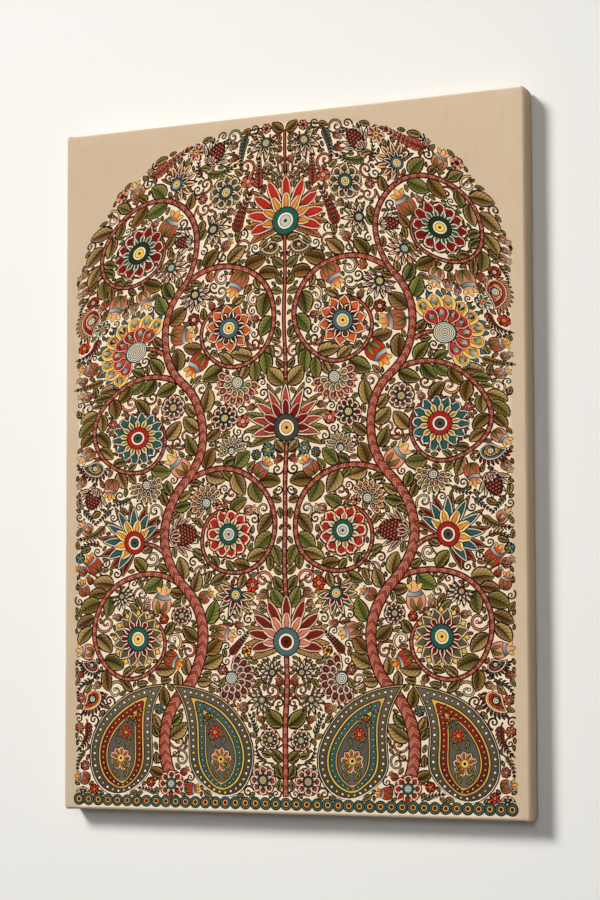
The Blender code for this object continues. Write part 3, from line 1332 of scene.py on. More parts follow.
    def scatter(self, attempt: Callable, *sizes: tuple) -> None:
        """Fill what is bare, one size after the other.

        Args:
            attempt: draws a motif in a nook where it fits, and says whether it did.
            sizes: each size, with the side of a bare square for it, how many at most and how many tries.
        """
        spine = np.concatenate([path[::3] for path, _ in self.vines])
        for size, side, limit, tries in sizes:
            found = 0
            for at in self.ground.rooms(side, self.luck)[:tries]:
                if found == limit:
                    break
                gap = np.linalg.norm(spine - at, axis=1)
                spot = spine[np.argmin(gap)]
                away = math.atan2(at[1] - spot[1], at[0] - spot[0])
                found += attempt(Nook(at, spot, gap.min(), away, size, found))

    def twig(self, start: Array, end: Array, half: float = 1.1) -> None:
        """A thin bowed stalk to a motif, from a vine or from under the leaves on the way to it.

        Args:
            start: point on the vine.
            end: point on the motif.
            half: half its width at the end.
        """
        path = swoop(start, end, self.luck.uniform(-0.22, 0.22), 9)
        path = path[np.linalg.norm(path - path[-1], axis=1) < self.twig_reach]
        if len(path) > 1:
            stalk = Ribbon(path, np.linspace(1.25 * half, half, len(path)))
            self.cloth.lay(stalk, Layer.TWIG, Pattern.PLAIN, STEM_DYES, 0.55)

    def try_flower(self, nook: Nook) -> bool:
        """A middle-sized flower of the next kind, on its own stalk.

        Args:
            nook: where.

        Returns:
            Whether it fits.
        """
        if nook.at[0] < nook.size * 0.75 or not self.ground.bare(nook.at):
            return False
        pairs = FLOWER_DYES[self.luck.integers(len(FLOWER_DYES))]
        lean = nook.away + self.luck.uniform(-0.4, 0.4)
        kind, back, reach, *more = self.KINDS[self.flowers % 6]
        foot = polar(nook.at, lean + math.pi, back * nook.size)
        flower = kind(foot, lean, reach * nook.size, pairs, *more)
        if kind is Rosette:
            flower = replace(flower, heading=self.luck.uniform(0, 1), petals=9 if nook.size > 13 else 8)
        elif kind is Plume:
            flower = replace(flower, hand=1 if self.luck.random() < 0.5 else -1)
        if self.ground.share(flower.hull()) > 0.03:
            return False
        self.twig(nook.spot, nook.at, 1.3)
        self.place(flower)
        self.flowers += 1
        return True

    def try_bud(self, nook: Nook) -> bool:
        """A bud or a small flower, on a twig.

        Args:
            nook: where.

        Returns:
            Whether it fits.
        """
        at, radius = nook.at, nook.size
        if not self.ground.bare(at) or self.ground.share(Round(at, 0.95 * radius).outline()) > 0.03:
            return False
        if nook.found % 5 < 3 or radius > 10:
            away = nook.away + self.luck.uniform(-0.5, 0.5)
            motif = Bud(polar(at, away + math.pi, 0.95 * radius), away, 2.0 * radius,
                        BUD_DYES[self.luck.integers(4)], (Dye.SLATE, Dye.TEAL)[self.luck.integers(2)])
        else:
            petals, trio = self.luck.choice([5, 6, 7]), FLORET_DYES[self.luck.integers(8)]
            motif = Floret(at, self.luck.uniform(0, 1), radius, trio, petals)
        if nook.gap < 60:
            self.twig(nook.spot, at)
        self.place(motif)
        return True

    def try_tendril(self, nook: Nook) -> bool:
        """A curl, rosy or pale by turns, the large ones on a twig.

        Args:
            nook: where.

        Returns:
            Whether it fits.
        """
        curl = Tendril(nook.at, self.luck.uniform(0, 6.28), nook.size, CURL_DYES[nook.found % 4],
                       1 if self.luck.random() < 0.5 else -1)
        fits = self.ground.bare(nook.at) and self.ground.share(curl.hull()) < 0.08
        if fits and nook.size > 8 and nook.gap < 60:
            self.twig(nook.spot, polar(nook.at, curl.heading, nook.size))
        if fits:
            self.place(curl)
        return fits

    def try_frond(self, nook: Nook) -> bool:
        """A feathered spray in a longer gap.

        Args:
            nook: where.

        Returns:
            Whether it fits.
        """
        away = nook.away + self.luck.uniform(-1.3, 1.3)
        ends = [polar(nook.at, away + turn, 0.5 * nook.size) for turn in (math.pi, 0.0)]
        path = swoop(*ends, self.luck.uniform(-0.25, 0.25), 11 if nook.size > 30 else 8)
        frond = Frond(path, 0.26 * nook.size, FROND_DYES[self.luck.integers(len(FROND_DYES))])
        fits = self.ground.share(frond.hull()) < 0.06
        if fits:
            self.place(frond)
        return fits

    def try_leaf(self, nook: Nook) -> bool:
        """A leaf, the way that fits best of four, the large ones on a twig.

        Args:
            nook: where.

        Returns:
            Whether it fits.
        """
        if not self.ground.bare(nook.at):
            return False
        size = nook.size
        grown = size * self.luck.uniform(0.92, 1.1)
        blades = [Blade(polar(nook.at, nook.away + turn + math.pi, 0.5 * grown), nook.away + turn, grown,
                        0.6 * grown, self.luck.uniform(-0.6, 0.6))
                  for turn in self.luck.uniform(-1.5, 1.5, 4)]
        taken = [self.ground.share(blade.outline(6)) for blade in blades]
        if min(taken) > (0.07 if size > 10 else 0.06 if size > 8 else 0.05):
            return False
        best = blades[taken.index(min(taken))]
        if size > 12 and nook.gap < 45:
            self.twig(nook.spot, best.spot(0.06), 0.8)
        self.cloth.lay_leaf(best, Layer.FILLER)
        self.ground.take(best.outline(6))
        return True


# The cloth

def bow(points: Array, power: int) -> Array:
    """The print's top bowed to an arch: above its middle, heights times 1 - BOW * (x / FIELD_HALF)^2.

    Args:
        points: places on the front, in millimetres.
        power: 1 to bow them, -1 to straighten them again.

    Returns:
        The places moved.
    """
    x, y = points.T
    factor = 1.0 - BOW * (x / FIELD_HALF) ** 2
    return np.stack([x, np.where(y > 0, y * factor ** power, y)], axis=1)


def slack(x: Array, z: Array) -> Array:
    """How far the front stands in or out: slow waves of up to 0.2 mm that fade to nothing at the edges.

    Args:
        x: places across, in metres.
        z: places up.

    Returns:
        The distances along Y: the mean of three sine waves, times 0.2 mm and 3 f^2 - 2 f^3 of the fade f.
    """
    wave = (np.sin(17.0 * x + 9.0 * z + 1.0) + np.sin(31.0 * z - 13.0 * x) + np.sin(41.0 * x + 3.0)) / 3.0
    edge = np.minimum(WIDTH / 2 - np.abs(x), HEIGHT / 2 - np.abs(z - MIDDLE_HEIGHT))
    fade = np.clip((edge - 0.006) / 0.04, 0.0, 1.0)
    return 0.0002 * wave * fade * fade * (3 - 2 * fade)


def waver(spots: Array) -> Array:
    """Slow drift of a hand-laid print: crossed sine waves of up to 1.5 mm that fade at the border.

    Args:
        spots: places on the front, in millimetres.

    Returns:
        The places moved.
    """
    x, y = spots.T
    edge = np.clip(np.minimum(247.5 - np.abs(x), 347.5 - np.abs(y)) / 30.0, 0.0, 1.0)
    off_x = np.sin(y / 37.0 + 0.6) * np.cos(x / 53.0) + 0.5 * np.sin(y / 13.0 + x / 17.0)
    off_y = np.sin(x / 41.0 + 1.9) * np.cos(y / 47.0) + 0.5 * np.sin(x / 14.0 - y / 19.0)
    return spots + np.stack([off_x, off_y], axis=1) * edge[:, None]


def grid(x: Array, y: Array) -> Array:
    """Every place with one of the x and one of the y."""
    return np.stack([part.ravel() for part in np.meshgrid(x, y)], axis=1)


def cut_flat(points: Array, edges: list, loops: list, kind: int) -> tuple:
    """Cut a flat region into triangles.

    Args:
        points: its points.
        edges: pairs of points that an edge joins.
        loops: closed rows of points that edges join.
        kind: 0 to cut all between the points, 1 to leave out what lies outside.

    Returns:
        Points, triangles, the points that each stands for and the loops that each triangle lies in.
    """
    made = delaunay_2d_cdt([Vector(point) for point in points.tolist()], edges, loops, kind, 1e-4, True)
    return np.array([tuple(spot) for spot in made[0]]), np.array(made[2]), made[3], made[5]


def add_piece(name: str, points: Array, faces: list, material: bpy.types.Material,
              sharp: Optional[float] = None) -> bpy.types.Object:
    """Add a mesh object.

    Args:
        name: its name.
        points: its points.
        faces: its faces.
        material: its finish.
        sharp: the angle in degrees above which an edge of a smooth one stays sharp.

    Returns:
        The object.
    """
    mesh = bpy.data.meshes.new(name)
    mesh.from_pydata(points.tolist(), [], faces)
    mesh.materials.append(material)
    if sharp is not None:
        mesh.shade_smooth()
        mesh.set_sharp_from_angle(angle=math.radians(sharp))
    piece = bpy.data.objects.new(name, mesh)
    bpy.context.scene.collection.objects.link(piece)
    log.info("%s: %d faces", name, len(faces))
    return piece


@dataclass
class Cloth:
    """The printed cloth: one sheet over the front, the sides and the hem, the print cut into its front."""

    design: Print
    lap_points: int = 3  # Steps along a lap's half of an edge
    edge_points: int = 46  # Steps between the laps
    side_points: int = 66  # Steps up a side
    side_rows: int = 9  # Rows from the front to the back
    hem_rows: int = 3  # Rows of the hem
    grid_step: float = 13.0  # Millimetres between the points inside the front
    wave_out: float = 0.0008  # How far the hem waves outwards
    wave_off: float = 0.0006  # How far it waves off the bars
    smooth: float = 40.0  # The angle in degrees above which an edge stays sharp

    def __post_init__(self) -> None:
        """Lay out the loops."""
        self.rings = self.lay_rings()
        self.count = len(self.rings[0][0])
        self.first = self.rings[0][0][:, [0, 2]] - (0.0, MIDDLE_HEIGHT)

    def ring(self, inset: float, depth: float, reach: float, lift: float, out: float,
             pull: float = 0.0) -> tuple:
        """One closed loop round the panel: a rectangle with round corners, set in from the outline.

        The laps lift it off the top and the bottom side as far as their reach from the corners, and end in
        a smooth step. Between the staples the hem waves out and off as 1 - cos, with their pitch.

        Args:
            inset: distance in from the outline.
            depth: its place along Y.
            reach: how far the laps go from the corners.
            lift: how far they stand off.
            out: distance of unrolled cloth from the first loop.
            pull: how strong the wave is, from 0 to 1.

        Returns:
            The points, anticlockwise from the front, and the distance.
        """
        half_width, half_height = WIDTH / 2 - inset, HEIGHT / 2 - inset
        radius = max(CORNER_ROUND - inset, CORNER_LEAST)
        start, lap_edge = half_width - radius, WIDTH / 2 - reach
        step = np.linspace(0.0, 1.0, 4)[1:-1]
        edge = np.linspace(lap_edge - LAP_STEP, LAP_STEP - lap_edge, self.edge_points)
        lapped = np.linspace(start, lap_edge, self.lap_points + 1)[1:]
        half_x = np.concatenate([lapped, lap_edge - LAP_STEP * step])
        half_lift = lift * np.concatenate([np.ones(self.lap_points), 0.5 + 0.5 * np.cos(math.pi * step)])
        across = np.concatenate([half_x, edge, -half_x[::-1]])
        raised = np.concatenate([half_lift, np.zeros(self.edge_points), half_lift[::-1]])
        up = np.linspace(-half_height + radius, half_height - radius, self.side_points)[1:-1]
        loops = []
        for corner, (side_x, side_z) in enumerate(((1, 1), (-1, 1), (-1, -1), (1, -1))):
            angle = np.linspace(0.0, math.pi / 2, 5) + corner * math.pi / 2
            bent_x = side_x * start + radius * np.cos(angle)
            bent_z = side_z * (half_height - radius) + (radius + lift) * np.sin(angle)
            loops.append(np.stack([bent_x, bent_z], axis=1))
            if corner % 2:
                loops.append(np.stack([np.full(len(up), side_x * half_width), side_z * up[::-1]], axis=1))
            else:
                loops.append(side_z * np.stack([across, half_height + raised], axis=1))
        x, z = np.concatenate(loops).T
        upright = np.abs(x) / WIDTH > np.abs(z) / HEIGHT
        loose = pull * (0.5 - 0.5 * np.cos(np.where(upright, z, x) * math.tau / STAPLE_PITCH))
        points = np.stack([x, np.full(len(x), depth), z + MIDDLE_HEIGHT], axis=1)
        return points + np.stack([np.where(upright, self.wave_out * loose * np.sign(x), 0.0),
                                  self.wave_off * loose,
                                  np.where(upright, 0.0, self.wave_out * loose * np.sign(z))], axis=1), out

    def lay_rings(self) -> list:
        """All loops from the front over the sides to the hem and back inside.

        Returns:
            Each loop, with the distance of unrolled cloth from the first.
        """
        quarter = math.pi / 2
        start, end = FRONT_ROUND - DEPTH, -BACK_ROUND
        side = FRONT_ROUND * quarter
        fold = side + (end - start)
        hem = fold + BACK_ROUND * quarter
        loops = [self.ring(FRONT_ROUND * (1 - math.sin(a)), FRONT_ROUND * (1 - math.cos(a)) - DEPTH,
                           LAP_FRONT_REACH, LAP_THICKNESS * math.sin(a), FRONT_ROUND * a)
                 for a in np.linspace(0.0, quarter, 6)]
        loops += [self.ring(0.0, start + s * (end - start),
                            LAP_FRONT_REACH + s * (LAP_BACK_REACH - LAP_FRONT_REACH), LAP_THICKNESS,
                            side + s * (end - start))
                  for s in np.linspace(0.0, 1.0, self.side_rows + 1)[1:]]
        loops += [self.ring(BACK_ROUND * (1 - math.cos(a)), end + BACK_ROUND * math.sin(a), LAP_BACK_REACH,
                            LAP_THICKNESS * math.cos(a), fold + BACK_ROUND * a)
                  for a in np.linspace(0.0, quarter, 4)[1:]]
        loops += [self.ring(BACK_ROUND + s * (HEM - BACK_ROUND), 0.0,
                            LAP_BACK_REACH + s * (HEM + LAP_STEP - LAP_BACK_REACH), 0.0,
                            hem + s * (HEM - BACK_ROUND), s)
                  for s in np.linspace(0.0, 1.0, self.hem_rows + 1)[1:]]
        hem += HEM - BACK_ROUND
        loops.append(self.ring(HEM, -CLOTH, HEM + LAP_STEP, 0.0, hem + CLOTH, 1.0))
        for turned, depth, reach, steps, sign in ((BACK_ROUND, end, LAP_BACK_REACH, 4, 1),
                                                  (FRONT_ROUND, start, LAP_FRONT_REACH, 6, -1)):
            inner = turned - CLOTH
            for a in np.linspace(quarter, 0.0, steps):
                far, deep = (math.cos(a), math.sin(a))[::sign]
                loops.append(self.ring(turned - inner * far, depth + sign * inner * deep, reach, 0.0, hem))
        return loops

    def cut_front(self) -> tuple:
        """Cut the front into triangles that each lie in one topmost patch.

        Returns:
            Points, triangles, each one's patch, -1 where bare, and whether it is the mirrored one.
        """
        patches = self.design.patches
        points, owner, flipped = [self.first * 1000.0], [-1], [False]
        for k, patch in enumerate(patches):
            outline = bow(patch.points, 1)
            points += [outline] if patch.single else [outline, (outline * (-1.0, 1.0))[::-1]]
            owner += [k] if patch.single else [k, k]
            flipped += [False] if patch.single else [False, True]
        starts = np.concatenate([[0], np.cumsum([len(part) for part in points])])
        loops = [list(range(a, b)) for a, b in zip(starts[:-1], starts[1:])]
        extra = grid(np.arange(-234.0, 240.0, self.grid_step), np.arange(-332.0, 340.0, self.grid_step))
        spots, triangles, _, sources = cut_flat(np.concatenate([*points, extra]), [], loops, 0)
        rank = np.array([-1] + [2 * patches[k].rank for k in owner[1:]]) + np.array(flipped, int)
        order = np.argsort(rank)
        kept = [k for k, faces in enumerate(sources) if 0 in faces]
        lengths = [len(sources[k]) for k in kept]
        top = np.maximum.reduceat(rank[np.concatenate([sources[k] for k in kept])],
                                  np.concatenate([[0], np.cumsum(lengths)[:-1]]))
        chosen = order[np.searchsorted(rank[order], top)]
        spots, triangles, chosen = self.drop_hidden(spots, triangles[kept], chosen, extra)
        return spots, triangles, np.array(owner)[chosen], np.array(flipped)[chosen]

    def drop_hidden(self, spots: Array, triangles: Array, chosen: Array, extra: Array) -> tuple:
        """Cut the front again along the visible edges alone, those between two different patches.

        Args:
            spots: points of the first cut.
            triangles: its triangles.
            chosen: what each of them belongs to.
            extra: points to keep inside.

        Returns:
            Points, triangles and what they belong to, found by a ray through each one's middle.
        """
        sides = np.sort(np.concatenate([triangles[:, pair] for pair in ([0, 1], [1, 2], [2, 0])]), axis=1)
        order = np.lexsort((sides[:, 1], sides[:, 0]))
        sides, belongs = sides[order], np.tile(chosen, 3)[order]
        same = (sides[1:] == sides[:-1]).all(axis=1)
        first = np.flatnonzero(~np.concatenate([[False], same]))
        paired = np.concatenate([same, [False]])[first]
        partner = np.minimum(first + 1, len(sides) - 1)
        seen = ~paired | (belongs[first] != belongs[partner])
        used, edges = np.unique(sides[first][seen], return_inverse=True)
        flat = np.concatenate([spots[used], extra])
        fresh, cut, _, _ = cut_flat(flat, edges.reshape(-1, 2).tolist(), [], 1)
        tree = BVHTree.FromPolygons([(x, y, 0.0) for x, y in spots.tolist()], triangles.tolist(),
                                    all_triangles=True)
        down = Vector((0.0, 0.0, -1.0))
        hits = [tree.ray_cast(Vector((x, y, 1.0)), down)[2] for x, y in fresh[cut].mean(axis=1).tolist()]
        kept = [k for k, hit in enumerate(hits) if hit is not None]
        return fresh, cut[kept], chosen[[hits[k] for k in kept]]

    def tint(self, at: Array, owner: Array, flipped: Array) -> tuple:
        """Values that the material reads at each corner of the front.

        Args:
            at: each triangle's corners in millimetres, before the hand's waver.
            owner: the patch of each triangle.
            flipped: whether it is the mirrored one.

        Returns:
            Place, kind, near and far dye of each corner.
        """
        place, kind, near, far = np.zeros((4, len(owner), 3, 3))
        kind[:, :, 0] = Pattern.BARE.value
        at = at * np.where(flipped, -1.0, 1.0)[:, None, None] ** np.array([1, 0])
        order = np.argsort(owner, kind="stable")
        ids, firsts = np.unique(owner[order], return_index=True)
        for k, rows in zip(ids, np.split(order, firsts[1:])):
            if k < 0:
                continue
            patch = self.design.patches[k]
            u, v, half, t = patch.shape.place(bow(at[rows].reshape(-1, 2), -1))
            place[rows] = np.stack([u, v, half], axis=1).reshape(-1, 3, 3)
            kind[rows] = np.stack([np.full(len(t), patch.pattern.value), t, np.full(len(t), patch.line)],
                                  axis=1).reshape(-1, 3, 3)
            uneven = 1.0 + self.design.luck.uniform(-0.1, 0.1)
            near[rows], far[rows] = (np.array(linear(dye)) * uneven for dye in patch.dyes)
        return place, kind, near, far

    def build(self) -> bpy.types.Object:
        """Make the sheet, its layouts and its attributes.

        Returns:
            The cloth.
        """
        spots, triangles, owner, flipped = self.cut_front()
        log.info("print: %d patches, %d triangles", len(self.design.patches), len(triangles))
        ring = np.linalg.norm(spots[None, :, :] - self.first[:, None, :] * 1000.0, axis=2).argmin(axis=1)
        drawn = waver(spots)
        x, z = drawn[:, 0] / 1000, drawn[:, 1] / 1000 + MIDDLE_HEIGHT
        front = np.stack([x, slack(x, z) - DEPTH, z], axis=1)
        back, back_faces, back_ring = self.inner_face(self.rings[-1][0])
        points = np.concatenate([front, *(loop for loop, _ in self.rings[1:-1]), back])
        base = len(points) - len(back)
        names = [ring, *np.arange(len(front), base).reshape(-1, self.count), base + back_ring]
        quads = np.concatenate([np.stack([a, b, np.roll(b, -1), np.roll(a, -1)], axis=1)
                                for a, b in zip(names, names[1:])])
        faces = triangles.tolist() + quads.tolist() + (base + back_faces).tolist()
        piece = add_piece("printed_cloth", points, faces, PrintedCanvas().make(), self.smooth)
        mesh = piece.data
        values = self.tint(spots[triangles], owner, flipped)
        for name, value in zip(("place", "kind", "near", "far"), values):
            full = np.zeros((len(mesh.loops), 3), np.float32)
            full[:] = (Pattern.BARE.value, -1, 0) if name == "kind" else 0
            full[:len(triangles) * 3] = value.reshape(-1, 3)
            layer = mesh.attributes.new("print_" + name, "FLOAT_VECTOR", "CORNER")
            layer.data.foreach_set("vector", full.ravel())
        self.lay_out(mesh, drawn[triangles], back[back_faces])
        return piece

    def inner_face(self, loop: Array) -> tuple:
        """The cloth's inner front, cut coarsely, with the same slack as the outer.

        Args:
            loop: the last ring.

        Returns:
            Points, triangles that face the back, and the places of the ring's points.
        """
        inside = grid(np.linspace(-0.22, 0.22, 18), np.linspace(-0.65, -0.02, 24))
        flat = np.concatenate([loop[:, [0, 2]], inside])
        spots, triangles, sources, _ = cut_flat(flat * 1000, [], [list(range(len(loop)))], 1)
        x, z = (spots / 1000).T
        found = {first: place for place, firsts in enumerate(sources) for first in firsts}
        return (np.stack([x, loop[0, 1] + slack(x, z), z], axis=1), triangles[:, ::-1],
                np.array([found[k] for k in range(len(loop))]))

    def lay_out(self, mesh: bpy.types.Mesh, front: Array, back: Array) -> None:
        """Two layouts: cloth_flat is the unrolled cloth in metres, OFBake an atlas to bake into.

        Each loop lies off the front's edge by its distance, away from a frame 20 mm inside. The atlas cuts
        the loops into four strips.

        Args:
            mesh: the cloth's mesh.
            front: corners of the front's triangles in millimetres.
            back: corners of the inner face's triangles in metres.
        """
        first = self.first
        shrunk = first * ((WIDTH / 2 - 0.02) / (WIDTH / 2), (HEIGHT / 2 - 0.02) / (HEIGHT / 2))
        reach = np.abs(shrunk).max(axis=0)
        out = first - np.clip(first, -reach, reach)
        out /= np.maximum(np.linalg.norm(out, axis=1)[:, None], 1e-6)
        gone = distances(np.concatenate([first, first[:1]]))
        share = gone / gone[-1] * 4
        strip = np.minimum(share[:-1].astype(int), 3)
        low, high = (0.49 + np.clip(part - strip, 0.0, 1.0) * 0.49 for part in (share[:-1], share[1:]))
        unrolled, atlas = [], []
        for k, ((_, a), (_, b)) in enumerate(zip(self.rings, self.rings[1:])):
            near, far = first + out * a, first + out * b
            unrolled.append(np.stack([near, far, np.roll(far, -1, axis=0), np.roll(near, -1, axis=0)], 1))
            x0, x1 = (0.67 + strip * 0.0825 + 0.075 * row / (len(self.rings) - 1) for row in (k, k + 1))
            atlas.append(np.stack([np.stack([x0, low], 1), np.stack([x1, low], 1), np.stack([x1, high], 1),
                                   np.stack([x0, high], 1)], axis=1))
        front = front.reshape(-1, 2) / 1000
        back = back.reshape(-1, 3)[:, [0, 2]] - (0.0, MIDDLE_HEIGHT)
        flat = np.concatenate([front, np.concatenate(unrolled).reshape(-1, 2), back])
        bake = np.concatenate([(front + (0.25, 0.35)) * 1.286 + 0.01, np.concatenate(atlas).reshape(-1, 2),
                               (back * (-1.0, 1.0) + (0.25, 0.35)) * 0.62 + (0.672, 0.02)])
        for name, value in (("cloth_flat", flat), ("OFBake", bake)):
            layer = mesh.uv_layers.new(name=name, do_init=False)
            layer.data.foreach_set("uv", value.astype(np.float32).ravel())

    def dress(self, piece: bpy.types.Object) -> None:
        """Attach the cloth to the root and hide the part's own cloth.

        Args:
            piece: the cloth.
        """
        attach(piece, "root")
        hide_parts("cloth")


# The frame and its fastenings

@dataclass(frozen=True)
class PlanedPine:
    """Planed, unfinished pine."""

    upright: bool  # Whether the grain runs along Z, as in the side bars, or along X
    early: tuple = (226, 192, 140)  # Colour of the pale early wood
    late: tuple = (186, 138, 84)  # Colour of the late wood's lines

    def make(self) -> bpy.types.Material:
        """Build the material.

        Returns:
            The pine material.
        """
        g = Graph("planed_pine_" + ("upright" if self.upright else "across"))
        grain = g.stretch(g.coordinates(), (1.0, 1.0, 0.045) if self.upright else (0.045, 1.0, 1.0))
        drift = g.noise(grain, 24.0)
        x, y, z = g.split(grain)
        rings = g.maths("SINE", ((x if self.upright else z) + 0.6 * y) * 900.0 + drift * 16.0) * 0.5 + 0.5
        late = g.mask(rings * rings * rings - 0.42, 0.7)
        fibre = g.noise(grain, 900.0, 3.0, 0.65)
        knots = g.noise(g.coordinates(), 9.0, 1.0, 0.4)
        colour = g.blend(late * 0.75 + 0.25 * fibre, self.early, self.late)
        return g.finish(Base_Color=g.dim(colour, 0.86 + 0.16 * fibre + 0.1 * knots),
                        Roughness=0.52 + 0.22 * fibre, Normal=g.bump(late * 0.4 + fibre * 0.6, 0.00012, 0.5))


@dataclass(frozen=True)
class StapleWire:
    """Zinc-plated wire with dull spots."""

    bright: tuple = (232, 232, 228)
    dull: tuple = (176, 176, 172)

    def make(self) -> bpy.types.Material:
        """Build the material.

        Returns:
            The wire's material.
        """
        g = Graph("staple_steel")
        spots = g.noise(g.coordinates(), 1500.0, 3.0, 0.6)
        return g.finish(Base_Color=g.blend(g.mask(spots - 0.5, 0.4), self.bright, self.dull), Metallic=1.0,
                        Roughness=0.3 + 0.25 * spots, Normal=g.bump(spots, 0.00003, 0.4))


class StretcherFrame:
    """The four mitred bars of the part, which keep their shape."""

    def dress_bars(self) -> None:
        """Give each bar its grain."""
        upright, across = PlanedPine(True).make(), PlanedPine(False).make()
        for name in ("bar_top", "bar_left", "bar_bottom", "bar_right"):
            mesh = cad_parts[name].data
            mesh.materials.clear()
            mesh.materials.append(upright if name in ("bar_left", "bar_right") else across)
            log.info("%s: planed pine", name)


@dataclass
class Staples:
    """Wire staples over the hem, a few degrees out of true."""

    spread: float = 0.0108  # Width of a crown
    bend: float = 0.0009  # Radius of its corners
    leg: float = 0.0012  # How far the legs go down
    wire: tuple = (0.0012, 0.0006)  # Width and thickness of the wire
    inset: float = 0.0150  # Distance of the row from the panel's outline
    stray: float = 0.0012  # How far they stray from their places
    skew: float = 0.07  # How far they turn out of true, in radians
    smooth: float = 50  # The angle in degrees above which an edge stays sharp

    def section(self) -> Array:
        """Cross-section of the wire: a rectangle with cut corners.

        Returns:
            Its corners, as pairs of side and height.
        """
        a, b = self.wire[0] / 2, self.wire[1] / 2
        cut = 0.3 * b
        half = np.array([(a - cut, -b), (a, -b + cut), (a, b - cut), (a - cut, b)])
        return np.roll(np.concatenate([half, -half]), 1, axis=0)

    def one(self, middle: Array, turn: float) -> tuple:
        """One staple: the section carried up a leg, round a quarter turn, along the crown and down again.

        Args:
            middle: middle of its crown in X and Z.
            turn: direction of the crown.

        Returns:
            Points and faces.
        """
        reach = self.spread / 2
        angle = np.linspace(0.0, math.pi / 2, 5)
        bent = around((reach - self.bend, -self.bend), angle, self.bend)
        half = np.concatenate([[(reach, -self.leg)], bent])
        path = np.concatenate([half, (half * (-1.0, 1.0))[::-1]])
        run = np.gradient(path, axis=0)
        run /= np.linalg.norm(run, axis=1)[:, None]
        section = self.section()
        along = path[:, None, 0] + section[None, :, 1] * run[:, None, 1]
        out = path[:, None, 1] - section[None, :, 1] * run[:, None, 0]
        side = np.broadcast_to(section[None, :, 0], along.shape)
        x = middle[0] + along * math.cos(turn) - side * math.sin(turn)
        z = middle[1] + along * math.sin(turn) + side * math.cos(turn)
        names = np.arange(along.size).reshape(along.shape)
        a, b = names, np.roll(names, -1, axis=1)
        quads = np.stack([a[:-1], b[:-1], b[1:], a[1:]], axis=-1).reshape(-1, 4).tolist()
        return (np.stack([x, out + 0.0001, z], axis=-1).reshape(-1, 3),
                quads + [names[0, ::-1].tolist(), names[-1].tolist()])

    def build(self) -> bpy.types.Object:
        """All staples as one piece.

        Returns:
            The staples.
        """
        luck = np.random.default_rng(5)
        half_width, half_height = WIDTH / 2 - self.inset, HEIGHT / 2 - self.inset
        across, up = (np.arange(-most, most + 1) * STAPLE_PITCH for most in (4, 6))
        spots = [(x, side * half_height, 0.0) for side in (-1, 1) for x in across]
        spots += [(side * half_width, z, math.pi / 2) for side in (-1, 1) for z in up]
        points, faces = [], []
        for x, z, turn in spots:
            middle = np.array([x, z + MIDDLE_HEIGHT]) + luck.normal(0.0, self.stray, 2)
            made, sides = self.one(middle, turn + luck.normal(0.0, self.skew))
            faces += [[len(points) * len(made) + k for k in face] for face in sides]
            points.append(made)
        return add_piece("hem_staples", np.concatenate(points), faces, StapleWire().make(), self.smooth)

    def dress(self, piece: bpy.types.Object) -> None:
        """Attach the staples to the root."""
        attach(piece, "root")


# Room, light and camera

@dataclass(frozen=True)
class Plaster:
    """Smooth pale paint, clear from behind, so that the panel can be looked at from all sides."""

    name: str  # The material's name
    colour: tuple  # 8-bit sRGB
    glow: float = 0.0  # Light of its own, for a floor that lies too far from the lamps

    def make(self) -> bpy.types.Material:
        """Build the material.

        Returns:
            The paint.
        """
        g = Graph(self.name)
        grain = g.noise(g.coordinates(), 90.0, 4.0, 0.6)
        colour = g.blend(g.noise(g.coordinates(), 1.6), self.colour, [part - 3 for part in self.colour])
        paint = g.wire("BsdfDiffuse", {"Color": colour, "Normal": g.bump(grain, 0.0002, 0.3)})
        if self.glow:
            own = g.wire("Emission", {"Color": colour, "Strength": self.glow})
            paint = g.wire("AddShader", {0: paint, 1: own})
        behind = g.wire("NewGeometry", {}, "Backfacing")
        both = g.wire("MixShader", {0: behind, 1: paint, 2: g.wire("BsdfTransparent", {})})
        g.node("OutputMaterial", {"Surface": both})
        return g.owner


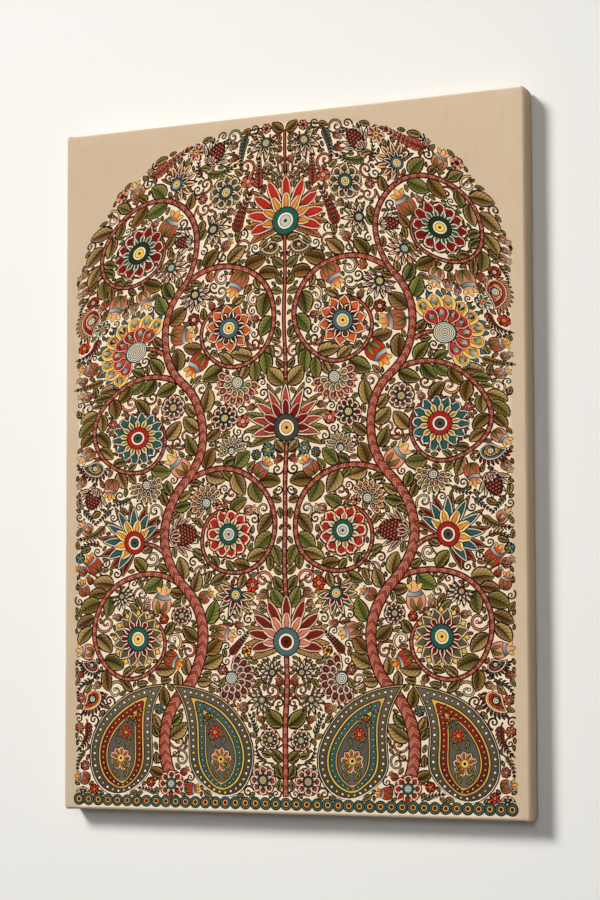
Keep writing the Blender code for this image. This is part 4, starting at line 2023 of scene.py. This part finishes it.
@dataclass
class Studio:
    """A white wall, a pale floor and soft daylight from the upper left.

    The wall is open where the panel hides it, so that light reaches the back, and the opening's rim goes
    forward to the hem to keep that light out of the gap along the panel's edge.
    """

    wall_depth: float = 0.003  # Place of the wall along Y
    floor_height: float = -1.35  # Place of the floor along Z
    opening_inset: float = 0.0035  # Distance of the opening in from the panel's outline

    def plane(self, name: str, corners: Array, faces: list,
              material: bpy.types.Material) -> bpy.types.Object:
        """Add one flat backdrop.

        Args:
            name: its name.
            corners: its corners.
            faces: its faces, anticlockwise from the lit side.
            material: its paint.

        Returns:
            The backdrop.
        """
        piece = add_piece(name, corners, faces, material)
        return piece

    def build(self) -> None:
        """Wall, floor, lamps and sky light, with the floor's own light kept off the panel."""
        y, z = self.wall_depth, self.floor_height
        square = np.array([(-1.0, -1.0), (1.0, -1.0), (1.0, 1.0), (-1.0, 1.0)])
        opening = (square * (WIDTH / 2 - self.opening_inset, HEIGHT / 2 - self.opening_inset)
                   + (0.0, MIDDLE_HEIGHT))
        outer = np.array([(-1.8, z), (1.8, z), (1.8, 1.6), (-1.8, 1.6)])
        wall = np.concatenate([np.insert(loop, 1, depth, axis=1)
                               for loop, depth in ((outer, y), (opening, y), (opening, 0.0002))])
        faces = [[b + k, b + (k + 1) % 4, b + (k + 1) % 4 + 4, b + k + 4] for b in (0, 4) for k in range(4)]
        self.plane("wall", wall, faces, Plaster("wall_paint", (246, 245, 241)).make())
        floor = self.plane("floor", np.insert(square * 15.0, 2, z, axis=1), [[0, 1, 2, 3]],
                           Plaster("floor_paint", (172, 170, 166), 1.25).make())
        floor.visible_diffuse = False
        panel = (0.0, 0.0, MIDDLE_HEIGHT)
        self.lamp("window", (-2.35, -3.95, 2.4), (0.0, 0.0, -0.55), 1.7, 32.0, 60.0, (1.0, 0.982, 0.955))
        self.lamp("room_fill", (0.9, -4.6, 0.7), panel, 1.6, 3.2, 50.0, (1.0, 1.0, 1.0))
        self.lamp("back_fill", (0.8, 3.4, 2.6), panel, 2.2, 115.0, 180.0, (1.0, 0.99, 0.975))
        self.set_sky(0.127, 0.8)
        bpy.context.scene.view_settings.view_transform = "Standard"

    def set_sky(self, strength: float, below: float) -> None:
        """A dim sky that lights the room, dimmer from below, and a pale one that is seen past the wall.

        Args:
            strength: its light from above.
            below: share of that which comes from below.
        """
        world = bpy.data.worlds.new("daylight")
        g = Graph(world)
        light = strength * (below + (1.0 - below) * g.mask(g.split(g.coordinates("Generated"))[2], 0.5))
        sky = g.wire("Background", {"Color": (0.97, 0.985, 1.0, 1.0), "Strength": light})
        seen = g.wire("Background", {"Color": (0.86, 0.855, 0.84, 1.0)})
        looked = g.wire("LightPath", {}, "Is Camera Ray")
        g.node("OutputWorld", {"Surface": g.wire("MixShader", {0: looked, 1: sky, 2: seen})})
        bpy.context.scene.world = world

    def lamp(self, name: str, place: tuple, aim: tuple, size: float, power: float, spread: float,
             colour: tuple) -> None:
        """Add a round lamp that no camera sees.

        Args:
            name: its name.
            place: where it stands.
            aim: what it points at.
            size: its width.
            power: its power in watts.
            spread: width of its beam in degrees.
            colour: its colour.
        """
        light = bpy.data.lights.new(name, "AREA")
        light.shape = "DISK"
        light.size = size
        light.spread = math.radians(spread)
        light.energy = power
        light.color = colour
        lamp = bpy.data.objects.new(name, light)
        lamp.location = place
        lamp.rotation_euler = (Vector(aim) - lamp.location).to_track_quat("-Z", "Y").to_euler()
        lamp.visible_camera = False
        bpy.context.scene.collection.objects.link(lamp)


@dataclass(frozen=True)
class ViewCamera:
    """The photograph's view: from the right and a little below the middle."""

    place: tuple = (0.8555, -1.9653, -0.5354)  # The lens
    turn: tuple = (93.528, 0.155, 23.417)  # Pitch, roll and yaw in degrees
    lens: float = 85.68  # Focal length for a 36 mm frame
    shift: float = 80 / 900  # Upward shift of the frame

    def build(self) -> None:
        """Add the camera and look through it."""
        data = bpy.data.cameras.new("view")
        data.lens = self.lens
        data.sensor_width = 36.0
        data.shift_y = self.shift
        camera = bpy.data.objects.new("view", data)
        camera.location = self.place
        camera.rotation_euler = [math.radians(angle) for angle in self.turn]
        bpy.context.scene.collection.objects.link(camera)
        bpy.context.scene.camera = camera


def main() -> None:
    """Build the panel's looks, the room and the camera."""
    logging.basicConfig(level=logging.INFO, format="%(message)s")
    ViewCamera().build()
    Studio().build()
    cloth = Cloth(Design().draw())
    cloth.dress(cloth.build())
    StretcherFrame().dress_bars()
    staples = Staples()
    staples.dress(staples.build())
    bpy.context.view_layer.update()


if __name__ == "__main__":
    main()
